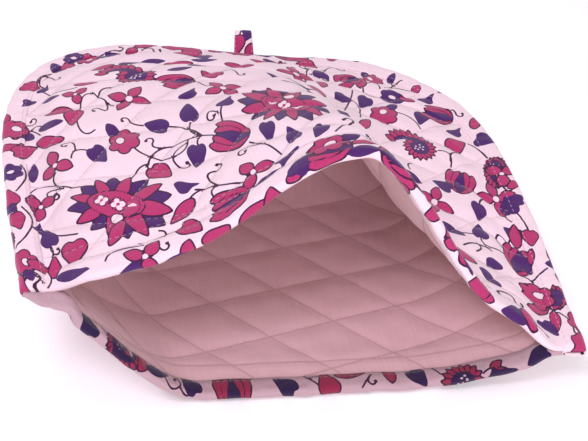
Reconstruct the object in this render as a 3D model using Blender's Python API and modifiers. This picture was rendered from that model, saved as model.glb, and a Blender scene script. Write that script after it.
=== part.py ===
"""A quilted, printed cotton tea cosy lying on its back panel with the mouth towards -Y.

Units are metres, +Z is up.  Two dome-shaped quilted panels are held together by one bound
edge that runs from the left mouth corner over the top to the right mouth corner.  Each
panel's mouth edge has its own folded strip, and a cloth loop is sewn at the top.
Every cloth is an open surface in its lying shape, thickened with Solidify.
"""
import math

import bmesh
import bpy
import numpy as np
from mathutils import Matrix

MM = 0.001

# ------------------------------------------------------------------ flat pattern of a panel
PANEL_WIDTH = 320 * MM          # across the mouth
PANEL_HEIGHT = 240 * MM         # mouth to top
DOME_POWER = 3.4                # squareness of the dome's shoulders
SHOULDER = 0.29                 # share of the edge that is the straight side of the panel

# ------------------------------------------------------------------ cloth thicknesses
PUFF = 5.0 * MM                 # quilted panel in the middle of a diamond
STITCHED = 2.4 * MM             # quilted panel on a quilting line
EDGE_PRESSED = 2.4 * MM         # each panel inside the bound edge
MOUTH_PRESSED = 3.0 * MM        # a panel inside its mouth strip
STRIP_CLOTH = 1.2 * MM          # binding strips
LOOP_CLOTH = 1.8 * MM           # the loop's strip, folded in four
GAP = 0.3 * MM                  # air between neighbouring cloths
MOUTH_GAP = 0.7 * MM            # air inside a mouth strip, where the lip twists
TUCK = 2.0 * MM                 # from the bound edge's rim to the panels inside it

# ------------------------------------------------------------------ strips
EDGE_WIDTH = 12 * MM            # bound edge, seam to rim
MOUTH_WIDTH = 12 * MM           # mouth strip, rim to stitching
MOUTH_START = 12 * MM           # mouth strips stop this far short of the bound edge
ROUNDING = 0.8 * MM             # corner taken off a folded strip's rim
FLANGE = 13 * MM                # how far the panels run together inside the edge
SOFTEN = 34 * MM                # where a panel has left the edge's slope

# ------------------------------------------------------------------ quilting
QUILT_STEP = 33 * MM            # between neighbouring quilting lines
STEEP_LINES = 45.0              # degrees from the mouth edge
SHALLOW_LINES = 15.0            # degrees from the mouth edge
FULL_LOFT = 25 * MM             # in from the bound edge to where the wadding is full

# ------------------------------------------------------------------ hanging loop
LOOP_WIDTH = 13 * MM            # across the strip at the cosy
LOOP_TAPER = 0.18               # share of that width lost at the bend
LOOP_TILT = 24.0                # degrees above the table
LOOP_PLACE = 0.502              # share of the way along the bound edge
LOOP_STEPS = 16                 # cells along it
# The strip's middle line, in millimetres: distance out from the rim, and height.
LOOP_LINE = ((1.5, -1.4), (6, -3.0), (12, -5.0), (17.5, -4.6), (20.5, 0),
             (17.5, 4.6), (12, 5.0), (6, 3.0), (1.5, 1.4))

ACROSS = 38                     # cells across a panel
HALF_MOUTH = PANEL_WIDTH / 2 - FLANGE   # flat half width of the mouth inside the edge
DEEP = 24                       # cells from mouth to shoulder

# The outer rim of the bound edge, left mouth corner to right mouth corner, in millimetres.
# tilt is how far the edge's outward direction points above the table, in degrees.
#        x     y    z  tilt
EDGE_ROWS = (
    (-124, -101, 55, 18),
    (-131, -66, 59, 10),
    (-139, -24, 63, 4),
    (-145, 20, 66, 2),
    (-144, 64, 67, 0),
    (-131, 98, 67, -2),
    (-107, 116, 67, -4),
    (-76, 121, 67, -6),
    (-40, 119, 64, -8),
    (-5, 117, 59, -8),
    (32, 114, 56, -6),
    (62, 109, 55, -4),
    (86, 97, 54, -2),
    (107, 79, 52, 0),
    (123, 60, 49, 0),
    (136, 24, 45, 0),
    (141, -13, 40, 0),
    (144, -42, 33, -2),
    (146, -82, 24, -4),
    (146, -112, 20, -6),
    (146, -132, 19, -5),
)

# Front panel, one row per line across it.  v is the distance from the mouth, the ridge is
# the crest of the arch, the foot is where the steep right flank flattens out, and back is
# how far that point is drawn away from the mouth, all in millimetres.
#     v  left_x left_z left_back ridge_x ridge_z ridge_back foot_x foot_z foot_back
FRONT_ROWS = (
    (0, -50, 71, 8, 40, 115, 27, 104, 38, 10),
    (30, -52, 77, 9, 36, 111, 27, 86, 46, 15),
    (60, -56, 81, 10, 27, 103, 27, 72, 50, 18),
    (100, -62, 84, 12, 18, 94, 25, 68, 53, 16),
    (150, -66, 81, 10, 6, 80, 19, 66, 57, 11),
    (200, -62, 74, 4, 0, 71, 7, 50, 60, 4),
    (240, -20, 64, 0, -5, 61, 0, 5, 60, 0),
)

# Back panel, one row per line across it: it lies on the table between two x values, and
# ahead is how far its left and right parts are pushed towards the mouth, in millimetres.
#     v  floor_left floor_right ahead_left ahead_right
BACK_ROWS = (
    (0, -40, 60, 18, 9),
    (50, -60, 70, 14, 7),
    (100, -68, 72, 9, 5),
    (150, -62, 60, 6, 3),
    (200, -45, 40, 2, 1),
    (240, -15, 5, 0, 0),
)
LIFT_OFF = 0.2                  # share of the rise over which it leaves the table
TABLE_MOUTH = 3.4 * MM          # middle of the back panel over its mouth strip
TABLE_PANEL = 1.0 * MM          # middle of the back panel where it lies on the table
STEP_DOWN = 22 * MM             # from the mouth strip down to the table
LIFT_FROM = 150 * MM            # where the back panel starts to rise towards the top
LIFT_TO = 270 * MM              # where that rise would end
PUSHED_LEFT = 0.2               # share across the back panel of its left push
PUSHED_RIGHT = 0.7              # and of its right push
KEEP_APART = 0.06               # least share across a panel between two set points
TO_MIDDLE = 0.05                # least share between a table edge and the panel's middle

# The whole cosy is moved by this much, to stand centred over the origin.
CENTRE_X = -0.2 * MM
CENTRE_Y = -1.2 * MM


def slopes(xs, ys):
    """Return slopes for a smooth curve through points that never overshoots them."""
    h = np.diff(xs)
    d = np.diff(ys) / h
    m = np.zeros(len(xs))
    for i in range(1, len(xs) - 1):
        if d[i - 1] * d[i] > 0:
            a, b = 2 * h[i] + h[i - 1], h[i] + 2 * h[i - 1]
            m[i] = (a + b) / (a / d[i - 1] + b / d[i])
    m[0], m[-1] = 1.5 * d[0] - 0.5 * m[1], 1.5 * d[-1] - 0.5 * m[-2]
    return m


def smooth_through(x, xs, ys):
    """Value at x of the smooth curve through the points xs, ys."""
    xs, ys = np.asarray(xs, float), np.asarray(ys, float)
    m = slopes(xs, ys)
    x = np.clip(x, xs[0], xs[-1])
    i = np.clip(np.searchsorted(xs, x, side="right") - 1, 0, len(xs) - 2)
    h = xs[i + 1] - xs[i]
    t = (x - xs[i]) / h
    return ((1 + 2 * t) * (1 - t) ** 2 * ys[i] + t * (1 - t) ** 2 * h * m[i]
            + t * t * (3 - 2 * t) * ys[i + 1] + t * t * (t - 1) * h * m[i + 1])


def ease(x):
    """Smooth step from 0 to 1."""
    x = np.clip(x, 0.0, 1.0)
    return x * x * (3 - 2 * x)


# ------------------------------------------------------------------ flat outline
def dome_outline(count=1201):
    """Flat outline of a panel's bound edge, left to right: points and distance along it."""
    t = np.linspace(math.pi, 0.0, count)
    c, s = np.cos(t), np.sin(t)
    r = (np.abs(c) ** DOME_POWER + np.abs(s) ** DOME_POWER) ** (-1 / DOME_POWER)
    pts = np.stack([r * c * PANEL_WIDTH / 2, r * s * PANEL_HEIGHT], axis=1)
    run = np.concatenate([[0.0], np.cumsum(np.linalg.norm(np.diff(pts, axis=0), axis=1))])
    return pts, run


OUTLINE, OUTLINE_RUN = dome_outline()
EDGE_LENGTH = OUTLINE_RUN[-1]


def outline_at(s):
    """Flat point and inward direction of the bound edge at distance s along it."""
    p = np.array([np.interp(s, OUTLINE_RUN, OUTLINE[:, k]) for k in (0, 1)])
    step = 2 * MM
    a = [np.interp(s - step, OUTLINE_RUN, OUTLINE[:, k]) for k in (0, 1)]
    b = [np.interp(s + step, OUTLINE_RUN, OUTLINE[:, k]) for k in (0, 1)]
    d = np.subtract(b, a)
    d /= np.linalg.norm(d)
    return p, np.array([d[1], -d[0]])


def nearest_edge(u, v):
    """Distance along and from the bound edge for a flat point."""
    d = np.hypot(OUTLINE[:, 0] - u, OUTLINE[:, 1] - v)
    k = int(np.argmin(d))
    return OUTLINE_RUN[k], d[k]


# ------------------------------------------------------------------ bound edge in space
def edge_curve(count=801):
    """Rim of the bound edge as even steps along it: points and outward directions."""
    rows = np.array(EDGE_ROWS, float)
    chord = np.concatenate([[0.0], np.cumsum(
        np.linalg.norm(np.diff(rows[:, :3], axis=0), axis=1))])
    n = len(rows)
    # natural cubic spline through the rows
    h = np.diff(chord)
    a = np.zeros((n, n))
    a[0, 0] = a[-1, -1] = 1.0
    for i in range(1, n - 1):
        a[i, i - 1], a[i, i], a[i, i + 1] = h[i - 1], 2 * (h[i - 1] + h[i]), h[i]
    t = np.linspace(0, chord[-1], 4001)
    k = np.clip(np.searchsorted(chord, t, side="right") - 1, 0, n - 2)
    cols = []
    for c in range(3):
        y = rows[:, c]
        b = np.zeros(n)
        b[1:-1] = 6 * ((y[2:] - y[1:-1]) / h[1:] - (y[1:-1] - y[:-2]) / h[:-1])
        m = np.linalg.solve(a, b)
        left, right = chord[k + 1] - t, t - chord[k]
        cols.append((m[k] * left ** 3 + m[k + 1] * right ** 3) / (6 * h[k])
                    + (y[k] / h[k] - m[k] * h[k] / 6) * left
                    + (y[k + 1] / h[k] - m[k + 1] * h[k] / 6) * right)
    pts = np.stack(cols, axis=1) * MM
    tilt = np.radians(np.interp(t, chord, rows[:, 3]))
    run = np.concatenate([[0.0], np.cumsum(np.linalg.norm(np.diff(pts, axis=0), axis=1))])
    even = np.linspace(0, run[-1], count)
    pts = np.stack([np.interp(even, run, pts[:, c]) for c in range(3)], axis=1)
    tilt = np.interp(even, run, tilt)
    along = np.gradient(pts, axis=0)
    along /= np.linalg.norm(along, axis=1)[:, None]
    out = np.stack([-along[:, 1], along[:, 0], np.zeros(count)], axis=1)
    out /= np.linalg.norm(out, axis=1)[:, None]
    out = out * np.cos(tilt)[:, None] + np.array([0, 0, 1.0]) * np.sin(tilt)[:, None]
    out -= along * np.sum(out * along, axis=1)[:, None]
    out /= np.linalg.norm(out, axis=1)[:, None]
    return pts, out, along, run[-1]


RIM, RIM_OUT, RIM_ALONG, RIM_LENGTH = edge_curve()


def rim_at(s):
    """Rim point, outward direction and upward normal at flat distance s along the edge."""
    t = np.clip(s / EDGE_LENGTH, 0, 1) * (len(RIM) - 1)
    k = np.arange(len(RIM))
    p, o, a = (np.array([np.interp(t, k, m[:, c]) for c in range(3)])
               for m in (RIM, RIM_OUT, RIM_ALONG))
    up = np.cross(a, o)
    return p, o / np.linalg.norm(o), up / np.linalg.norm(up)


# ------------------------------------------------------------------ panel surfaces
def table(rows, column, v):
    """Value of one column at distance v from the mouth."""
    vs = [r[0] * MM for r in rows]
    return float(smooth_through(np.array([v]), vs, [r[column] * MM for r in rows])[0])


def row_ends(v):
    """Rim points where the line across the panel at height v meets the bound edge."""
    half = OUTLINE[: len(OUTLINE) // 2 + 1]
    s = float(np.interp(v, half[:, 1], OUTLINE_RUN[: len(half)]))
    return rim_at(s)[0], rim_at(EDGE_LENGTH - s)[0]


def front_row(v, fine=161):
    """Points across the front panel at height v, before the edge is softened."""
    left, right = row_ends(v)
    col = [table(FRONT_ROWS, c, v) for c in range(1, 10)]
    f = np.linspace(0, 1, fine)
    span = right[0] - left[0]
    knots = [0.0]
    for x in (col[0], col[3], col[6]):
        knots.append(min(max((x - left[0]) / span, knots[-1] + KEEP_APART),
                         1 - KEEP_APART / 2))
    knots.append(1.0)
    z = smooth_through(f, knots, [left[2], col[1], col[4], col[7], right[2]])
    back = smooth_through(f, knots, [0.0, col[2], col[5], col[8], 0.0])
    pts = left + (right - left) * f[:, None]
    pts[:, 1] += back
    pts[:, 2] = z
    return pts


def rise(h):
    """Share of the climb at share h of the way out: level at first, then straight."""
    h = np.clip(h, 0.0, 1.0)
    full = 1 + LIFT_OFF * (math.exp(-1 / LIFT_OFF) - 1)
    return (h + LIFT_OFF * (np.exp(-h / LIFT_OFF) - 1)) / full


def back_row(v, fine=161):
    """Points across the back panel at height v, before the edge is softened."""
    left, right = row_ends(v)
    a, b, ahead_left, ahead_right = (table(BACK_ROWS, c, v) for c in range(1, 5))
    f = np.linspace(0, 1, fine)
    span = right[0] - left[0]
    fa = min(max((a - left[0]) / span, KEEP_APART), 0.5 - TO_MIDDLE)
    fb = max(min((b - left[0]) / span, 1 - KEEP_APART), 0.5 + TO_MIDDLE)
    low = TABLE_PANEL + (TABLE_MOUTH - TABLE_PANEL) * (1 - float(ease((v - FLANGE) / STEP_DOWN)))
    lift = float(ease((v - LIFT_FROM) / (LIFT_TO - LIFT_FROM)))
    low += lift * ((left[2] + right[2]) / 2 - low)
    z = np.where(f < 0.5, low + (left[2] - low) * rise(1 - f / fa),
                 low + (right[2] - low) * rise((f - fb) / (1 - fb)))
    pts = left + (right - left) * f[:, None]
    pts[:, 1] -= smooth_through(f, [0, PUSHED_LEFT, PUSHED_RIGHT, 1],
                                [0, ahead_left, ahead_right, 0])
    pts[:, 2] = z
    return pts


def panel_table(row_points, count=101):
    """Tabulate a panel: points on even shares across it for even heights."""
    heights = np.linspace(0, PANEL_HEIGHT, count)
    share = np.linspace(0, 1, 121)
    grid = []
    for v in heights:
        pts = row_points(v)
        run = np.concatenate([[0.0], np.cumsum(np.linalg.norm(np.diff(pts, axis=0), axis=1))])
        run /= max(run[-1], 1e-9)
        grid.append(np.stack([np.interp(share, run, pts[:, c]) for c in range(3)], axis=1))
    return heights, share, np.array(grid)


def half_width(v):
    """Half the flat width of a panel at height v."""
    v = min(max(v / PANEL_HEIGHT, 0.0), 1.0)
    return PANEL_WIDTH / 2 * (1 - v ** DOME_POWER) ** (1 / DOME_POWER)


def cloth_point(tab, side, u, v):
    """Where flat point (u, v) of a panel's middle layer lies; side is +1 front, -1 back."""
    heights, share, grid = tab
    w = max(half_width(v), 1e-6)
    q = min(max(0.5 + 0.5 * u / w, 0.0), 1.0) * (len(share) - 1)
    r = min(max(v, 0.0), PANEL_HEIGHT) / PANEL_HEIGHT * (len(heights) - 1)
    i, j = min(int(r), len(heights) - 2), min(int(q), len(share) - 2)
    fr, fq = r - i, q - j
    body = ((1 - fr) * ((1 - fq) * grid[i, j] + fq * grid[i, j + 1])
            + fr * ((1 - fq) * grid[i + 1, j] + fq * grid[i + 1, j + 1]))
    s, d = nearest_edge(u, v)
    g = float(ease((d - FLANGE) / (SOFTEN - FLANGE)))
    if g >= 1.0:
        return body
    return g * body + (1 - g) * edge_layer(s, d, side)


def edge_layer(s, d, side):
    """Middle of a panel inside the bound edge: s along it, d in from its rim."""
    rim, out, up = rim_at(s)
    return rim - out * d + up * side * (EDGE_PRESSED + GAP) / 2


# ------------------------------------------------------------------ building
def quilt_share(side, u, v):
    """Share of the puffed thickness at a flat point: small on the two sets of lines."""
    steep, shallow = math.radians(STEEP_LINES), math.radians(SHALLOW_LINES)
    a = u * math.sin(steep) * -side + v * math.cos(steep)
    b = u * math.sin(shallow) * side + v * math.cos(shallow)
    puff = abs(math.sin(math.pi * a / QUILT_STEP)) * abs(math.sin(math.pi * b / QUILT_STEP))
    share = (STITCHED + (PUFF - STITCHED) * puff ** 0.8) / PUFF
    inside = (nearest_edge(u, v)[1] - FLANGE) / FULL_LOFT
    return min(share, (EDGE_PRESSED + (PUFF - EDGE_PRESSED) * max(inside, 0.0)) / PUFF)


def material(name, rgb, roughness):
    """A cloth material with a plain colour."""
    mat = bpy.data.materials.new(name)
    mat.use_nodes = True
    node = mat.node_tree.nodes["Principled BSDF"]
    node.inputs["Base Color"].default_value = (*rgb, 1.0)
    node.inputs["Roughness"].default_value = roughness
    node.inputs["Metallic"].default_value = 0.0
    return mat


def smooth_object(name, bm, collection, mat):
    """Turn a bmesh into a smooth-shaded object of the collection."""
    mesh = bpy.data.meshes.new(name)
    bm.to_mesh(mesh)
    bm.free()
    mesh.shade_smooth()
    mesh.set_sharp_from_angle(angle=math.radians(40))
    mesh.materials.append(mat)
    obj = bpy.data.objects.new(name, mesh)
    collection.objects.link(obj)
    return obj


def thicken(obj, thickness, shares=None):
    """Give a cloth surface its thickness, half on each side."""
    mod = obj.modifiers.new("Cloth", "SOLIDIFY")
    mod.thickness = thickness
    mod.offset = 0.0
    if shares is not None:
        group = obj.vertex_groups.new(name="thickness")
        for k, share in enumerate(shares):
            group.add([k], share, "REPLACE")
        mod.vertex_group = group.name
    return mod


def side_stations():
    """Flat distances along the bound edge of a panel's mesh columns and rows."""
    shoulder = SHOULDER * EDGE_LENGTH
    left = np.linspace(FLANGE, shoulder, DEEP + 1)
    top = np.linspace(shoulder, EDGE_LENGTH - shoulder, ACROSS + 1)
    right = np.linspace(EDGE_LENGTH - shoulder, EDGE_LENGTH - FLANGE, DEEP + 1)
    return left, top, right


def inner_grid():
    """Flat grid inside the bound edge and the mouth strip, as a blend of its four sides."""
    left, top, right = side_stations()

    def inside(s):
        p, n = outline_at(s)
        return p + n * FLANGE

    lf = np.array([inside(s) for s in left])
    tp = np.array([inside(s) for s in top])
    rg = np.array([inside(s) for s in right])[::-1]
    lf[0], rg[0] = (-HALF_MOUTH, FLANGE), (HALF_MOUTH, FLANGE)
    bt = np.stack([np.linspace(-HALF_MOUTH, HALF_MOUTH, ACROSS + 1),
                   np.full(ACROSS + 1, FLANGE)], axis=1)
    grid = np.zeros((ACROSS + 1, DEEP + 1, 2))
    for i in range(ACROSS + 1):
        for j in range(DEEP + 1):
            x, y = i / ACROSS, j / DEEP
            grid[i, j] = ((1 - y) * bt[i] + y * tp[i] + (1 - x) * lf[j] + x * rg[j]
                          - (1 - x) * (1 - y) * bt[0] - x * (1 - y) * bt[-1]
                          - (1 - x) * y * tp[0] - x * y * tp[-1])
    return grid


def panel_nodes(tab, side, grid, left, top, right):
    """Middle-layer points of a panel's mesh; row -1 is its mouth edge."""
    nodes = {}
    for i in range(ACROSS + 1):
        for j in range(DEEP + 1):
            nodes[i, j] = cloth_point(tab, side, *grid[i, j])
        nodes[i, -1] = cloth_point(tab, side, grid[i, 0][0], 0.0)
    for j in range(DEEP + 1):
        nodes[0, j] = edge_layer(left[j], FLANGE, side)
        nodes[ACROSS, j] = edge_layer(right[DEEP - j], FLANGE, side)
    for i in range(ACROSS + 1):
        nodes[i, DEEP] = edge_layer(top[i], FLANGE, side)
    nodes[0, -1] = edge_layer(0.0, FLANGE, side)
    nodes[ACROSS, -1] = edge_layer(EDGE_LENGTH, FLANGE, side)
    return nodes


def build_panel(name, side, row_points, collection, mat):
    """One quilted panel: side is +1 for the front and -1 for the back."""
    tab = panel_table(row_points)
    left, top, right = side_stations()
    grid = inner_grid()
    bm = bmesh.new()
    shares = []

    def add(point, share):
        shares.append(share)
        return bm.verts.new(point)

    edge_share = EDGE_PRESSED / PUFF
    mouth_share = MOUTH_PRESSED / PUFF
    nodes = panel_nodes(tab, side, grid, left, top, right)
    verts = {}
    for i in range(ACROSS + 1):
        for j in range(-1, DEEP + 1):
            u, v = grid[i, max(j, 0)]
            if i in (0, ACROSS) or j == DEEP:
                share = edge_share
            elif j <= 0:
                share = mouth_share
            else:
                share = quilt_share(side, u, v)
            verts[i, j] = add(nodes[i, j], share)
    stations = np.concatenate([[0.0], left, top[1:], right[1:], [EDGE_LENGTH]])
    ring = ([verts[0, j] for j in range(-1, DEEP + 1)]
            + [verts[i, DEEP] for i in range(1, ACROSS + 1)]
            + [verts[ACROSS, j] for j in range(DEEP - 1, -2, -1)])
    rim = [add(edge_layer(s, TUCK, side), edge_share) for s in stations]
    for i in range(ACROSS):
        for j in range(-1, DEEP):
            bm.faces.new((verts[i, j], verts[i + 1, j], verts[i + 1, j + 1], verts[i, j + 1]))
    for k in range(len(ring) - 1):
        bm.faces.new((ring[k], ring[k + 1], rim[k + 1], rim[k]))
    bm.normal_update()
    mouth = [[(nodes[i, j], np.array(verts[i, j].normal)) for j in (-1, 0)]
             for i in range(ACROSS + 1)]
    obj = smooth_object(name, bm, collection, mat)
    thicken(obj, PUFF, shares)
    return obj, mouth


def folded_section(width, half):
    """Middle line of a strip folded over an edge: distance in from the rim, and height."""
    r = STRIP_CLOTH / 2
    return [(width, half), (r + ROUNDING, half), (r, half - ROUNDING),
            (r, ROUNDING - half), (r + ROUNDING, -half), (width, -half)]


def build_strip(name, sections, thickness, collection, mat):
    """A strip lofted through sections of equal point count."""
    bm = bmesh.new()
    rows = [[bm.verts.new(p) for p in section] for section in sections]
    for a, b in zip(rows, rows[1:]):
        for k in range(len(a) - 1):
            bm.faces.new((a[k], a[k + 1], b[k + 1], b[k]))
    obj = smooth_object(name, bm, collection, mat)
    mod = thicken(obj, thickness)
    mod.use_even_offset = True
    return obj


def build_edge_binding(collection, mat):
    """The strip folded over both panels, from one mouth corner over the top to the other."""
    left, top, right = side_stations()
    half = EDGE_PRESSED + GAP * 1.5 + STRIP_CLOTH / 2
    sections = []
    for s in np.concatenate([[0.0], left, top[1:], right[1:], [EDGE_LENGTH]]):
        rim, out, up = rim_at(s)
        sections.append([rim - out * d + up * h for d, h in folded_section(EDGE_WIDTH, half)])
    return build_strip("edge_binding", sections, STRIP_CLOTH, collection, mat)


def build_mouth_binding(name, mouth, collection, mat):
    """The strip folded over one panel's mouth edge, between the two bound corners.

    mouth holds, for each line of the panel's mesh, its point and normal at the mouth edge
    and one FLANGE further in.
    """
    first = MOUTH_START / (2 * HALF_MOUTH / ACROSS)
    stations = [first] + list(range(int(first) + 1, ACROSS - int(first))) + [ACROSS - first]
    half = MOUTH_PRESSED / 2 + MOUTH_GAP + STRIP_CLOTH / 2
    beyond = MOUTH_GAP + STRIP_CLOTH + ROUNDING / 2
    sections = []
    for t in stations:
        i = min(int(t), ACROSS - 1)
        f = t - i
        (edge, n_edge), (back, n_back) = (
            [mouth[i][k][m] * (1 - f) + mouth[i + 1][k][m] * f for m in (0, 1)] for k in (0, 1))
        inward = back - edge
        along = mouth[i + 1][0][0] - mouth[i][0][0]
        square = (np.linalg.norm(np.cross(inward, along))
                  / np.linalg.norm(inward) / np.linalg.norm(along))
        section = []
        for d, h in folded_section(MOUTH_WIDTH, half):
            share = (d - beyond) / FLANGE
            if share < 0:
                share /= square
            up = n_edge + (n_back - n_edge) * max(share, 0.0)
            section.append(edge + inward * share + up * h / np.linalg.norm(up))
        sections.append(section)
    return build_strip(name, sections, STRIP_CLOTH, collection, mat)


def build_loop(collection, mat):
    """The hanging loop: a folded strip bent over on itself, sewn in at the top."""
    rim, out, _ = rim_at(EDGE_LENGTH * LOOP_PLACE)
    across = np.cross((0.0, 0.0, 1.0), out)
    across /= np.linalg.norm(across)
    rise_angle = math.radians(LOOP_TILT)
    away = np.array([out[0], out[1], 0.0])
    away /= np.linalg.norm(away)
    away = away * math.cos(rise_angle) + np.array([0, 0, 1.0]) * math.sin(rise_angle)
    over = np.cross(away, across)
    pts = np.array(LOOP_LINE) * MM
    t = np.linspace(0, len(pts) - 1, LOOP_STEPS + 1)
    k = np.arange(len(pts))
    line = np.stack([smooth_through(t, k, pts[:, 0]), smooth_through(t, k, pts[:, 1])], axis=1)
    sections = []
    for d, h in line:
        width = LOOP_WIDTH * (1 - LOOP_TAPER * d / (LOOP_LINE[4][0] * MM))
        centre = rim + away * (d + GAP) + over * h
        sections.append([centre - across * width / 2, centre, centre + across * width / 2])
    return build_strip("hanging_loop", sections, LOOP_CLOTH, collection, mat)


def press_flat(obj, collection):
    """Keep the panel's shape and press whatever is below the table up onto it."""
    bpy.context.view_layer.update()
    depsgraph = bpy.context.evaluated_depsgraph_get()
    mesh = bpy.data.meshes.new_from_object(obj.evaluated_get(depsgraph))
    for vert in mesh.vertices:
        vert.co.z = max(vert.co.z, 0.0)
    name = obj.name
    bpy.data.objects.remove(obj)
    mesh.name = name
    flat = bpy.data.objects.new(name, mesh)
    collection.objects.link(flat)
    return flat


def main():
    """Build the tea cosy."""
    for obj in list(bpy.data.objects):
        bpy.data.objects.remove(obj)
    cosy = bpy.data.collections.new("tea_cosy")
    bpy.context.scene.collection.children.link(cosy)
    printed = material("printed_cotton", (0.80, 0.66, 0.74), 0.85)
    binding = material("printed_binding", (0.72, 0.50, 0.62), 0.85)
    _, front = build_panel("front_panel", 1, front_row, cosy, printed)
    back_obj, back = build_panel("back_panel", -1, back_row, cosy, printed)
    press_flat(back_obj, cosy)
    build_edge_binding(cosy, binding)
    build_mouth_binding("front_mouth_binding", front, cosy, binding)
    build_mouth_binding("back_mouth_binding", back, cosy, binding)
    build_loop(cosy, binding)
    for obj in cosy.objects:
        obj.data.transform(Matrix.Translation((CENTRE_X, CENTRE_Y, 0.0)))


main()
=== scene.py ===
"""Quilted tea cosy in floral printed cotton, lying on its back panel with its mouth open.

Two dome-shaped quilted panels share one bound edge.  Each panel's mouth has its own folded
strip, and a cloth loop is sewn in at the top.  Flat cloth is measured in millimetres from the
middle of the mouth (u across, v towards the top), and every cloth is laid from that flat cut
onto the shape in which the cosy rests.
"""
import logging
import math
from collections.abc import Callable
from dataclasses import dataclass
from enum import Enum, IntEnum

import bmesh
import bpy
import numpy as np
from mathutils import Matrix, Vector


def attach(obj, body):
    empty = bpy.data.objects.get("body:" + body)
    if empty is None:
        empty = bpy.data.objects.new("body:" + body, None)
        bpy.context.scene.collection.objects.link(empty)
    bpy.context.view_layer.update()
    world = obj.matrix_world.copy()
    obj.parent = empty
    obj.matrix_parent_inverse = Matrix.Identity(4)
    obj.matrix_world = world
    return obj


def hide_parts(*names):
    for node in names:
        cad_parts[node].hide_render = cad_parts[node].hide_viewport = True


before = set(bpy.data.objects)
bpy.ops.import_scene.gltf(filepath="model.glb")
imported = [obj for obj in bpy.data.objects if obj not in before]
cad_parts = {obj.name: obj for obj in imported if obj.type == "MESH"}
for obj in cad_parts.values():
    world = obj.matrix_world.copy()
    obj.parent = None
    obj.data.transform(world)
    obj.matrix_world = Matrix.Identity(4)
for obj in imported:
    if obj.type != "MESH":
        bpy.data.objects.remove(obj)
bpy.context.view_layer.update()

log = logging.getLogger("tea_cosy")
MM = 0.001
Array = np.ndarray
Pair = tuple[float, float]
Object = bpy.types.Object
Material = bpy.types.Material
Tree = bpy.types.NodeTree
Socket = bpy.types.NodeSocket
Feed = Socket | float | tuple  # what an input of a shader node takes
COLOURS = {"out": 2, "data_type": "RGBA"}  # a Mix node set to colours, and its output


# ------------ small helpers
def linear(hex_colour: str) -> tuple[float, float, float, float]:
    """Turn an sRGB hex colour into the linear colour that shaders take.

    Args:
        hex_colour: six hex digits with a leading #.
    Returns:
        Red, green, blue and alpha, linear.
    """
    parts = [int(hex_colour[i:i + 2], 16) / 255 for i in (1, 3, 5)]
    rgb = [c / 12.92 if c <= 0.04045 else ((c + 0.055) / 1.055) ** 2.4 for c in parts]
    return rgb[0], rgb[1], rgb[2], 1.0


def ease(x: Array) -> Array:
    """Smooth step from 0 to 1."""
    x = np.clip(x, 0.0, 1.0)
    return x * x * (3 - 2 * x)


def unit(v: Array) -> Array:
    """Vectors scaled to length 1."""
    return v / np.maximum(np.linalg.norm(v, axis=-1, keepdims=True), 1e-12)


def heading(degrees: float) -> Array:
    """The flat direction at an angle from the first axis."""
    a = math.radians(degrees)
    return np.array([math.cos(a), math.sin(a)])


def read_rows(x: Array, xs: Array, rows: Array) -> Array:
    """Read a table whose rows stand at places xs, straight between them."""
    return np.stack([np.interp(x, xs, c) for c in rows.T], axis=-1)


def smooth_through(x: Array, xs: Array, ys: Array) -> Array:
    """Read a smooth curve that runs through points and never overshoots them.

    Args:
        x: where to read.
        xs: the points' places, rising.
        ys: the points' values.
    Returns:
        The curve's values at x.
    """
    xs, ys = np.asarray(xs, float), np.asarray(ys, float)
    h = np.diff(xs)
    d = np.diff(ys) / h
    m = np.zeros(len(xs))
    for i in range(1, len(xs) - 1):
        if d[i - 1] * d[i] > 0:
            a, b = 2 * h[i] + h[i - 1], h[i] + 2 * h[i - 1]
            m[i] = (a + b) / (a / d[i - 1] + b / d[i])
    m[0], m[-1] = 1.5 * d[0] - 0.5 * m[1], 1.5 * d[-1] - 0.5 * m[-2]
    x = np.clip(x, xs[0], xs[-1])
    i = np.clip(np.searchsorted(xs, x, side="right") - 1, 0, len(xs) - 2)
    h, t = xs[i + 1] - xs[i], (x - xs[i]) / (xs[i + 1] - xs[i])
    return ((1 + 2 * t) * (1 - t) ** 2 * ys[i] + t * (1 - t) ** 2 * h * m[i]
            + t * t * (3 - 2 * t) * ys[i + 1] + t * t * (t - 1) * h * m[i + 1])


def ripples(x: Array, y: Array, shortest: float, longest: float, seed: int) -> Array:
    """Smooth uneven bumps, as the sum of a few waves in many directions.

    Args:
        x: places, in millimetres.
        y: places, in millimetres.
        shortest: shortest wave, in millimetres.
        longest: longest wave, in millimetres.
        seed: which set of waves.
    Returns:
        Heights, mostly between -1 and 1.
    """
    rng = np.random.default_rng(seed)
    total = np.zeros(np.shape(x))
    waves = 16
    for _ in range(waves):
        turn, start = rng.uniform(0, 2 * math.pi, 2)
        length = math.exp(rng.uniform(math.log(shortest), math.log(longest)))
        total += np.sin(2 * math.pi * (x * math.cos(turn) + y * math.sin(turn)) / length + start)
    return total / math.sqrt(waves)


# ------------ the shape it lies in
class Side(Enum):
    """Which panel of the cosy."""
    FRONT = 1
    BACK = -1


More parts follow.
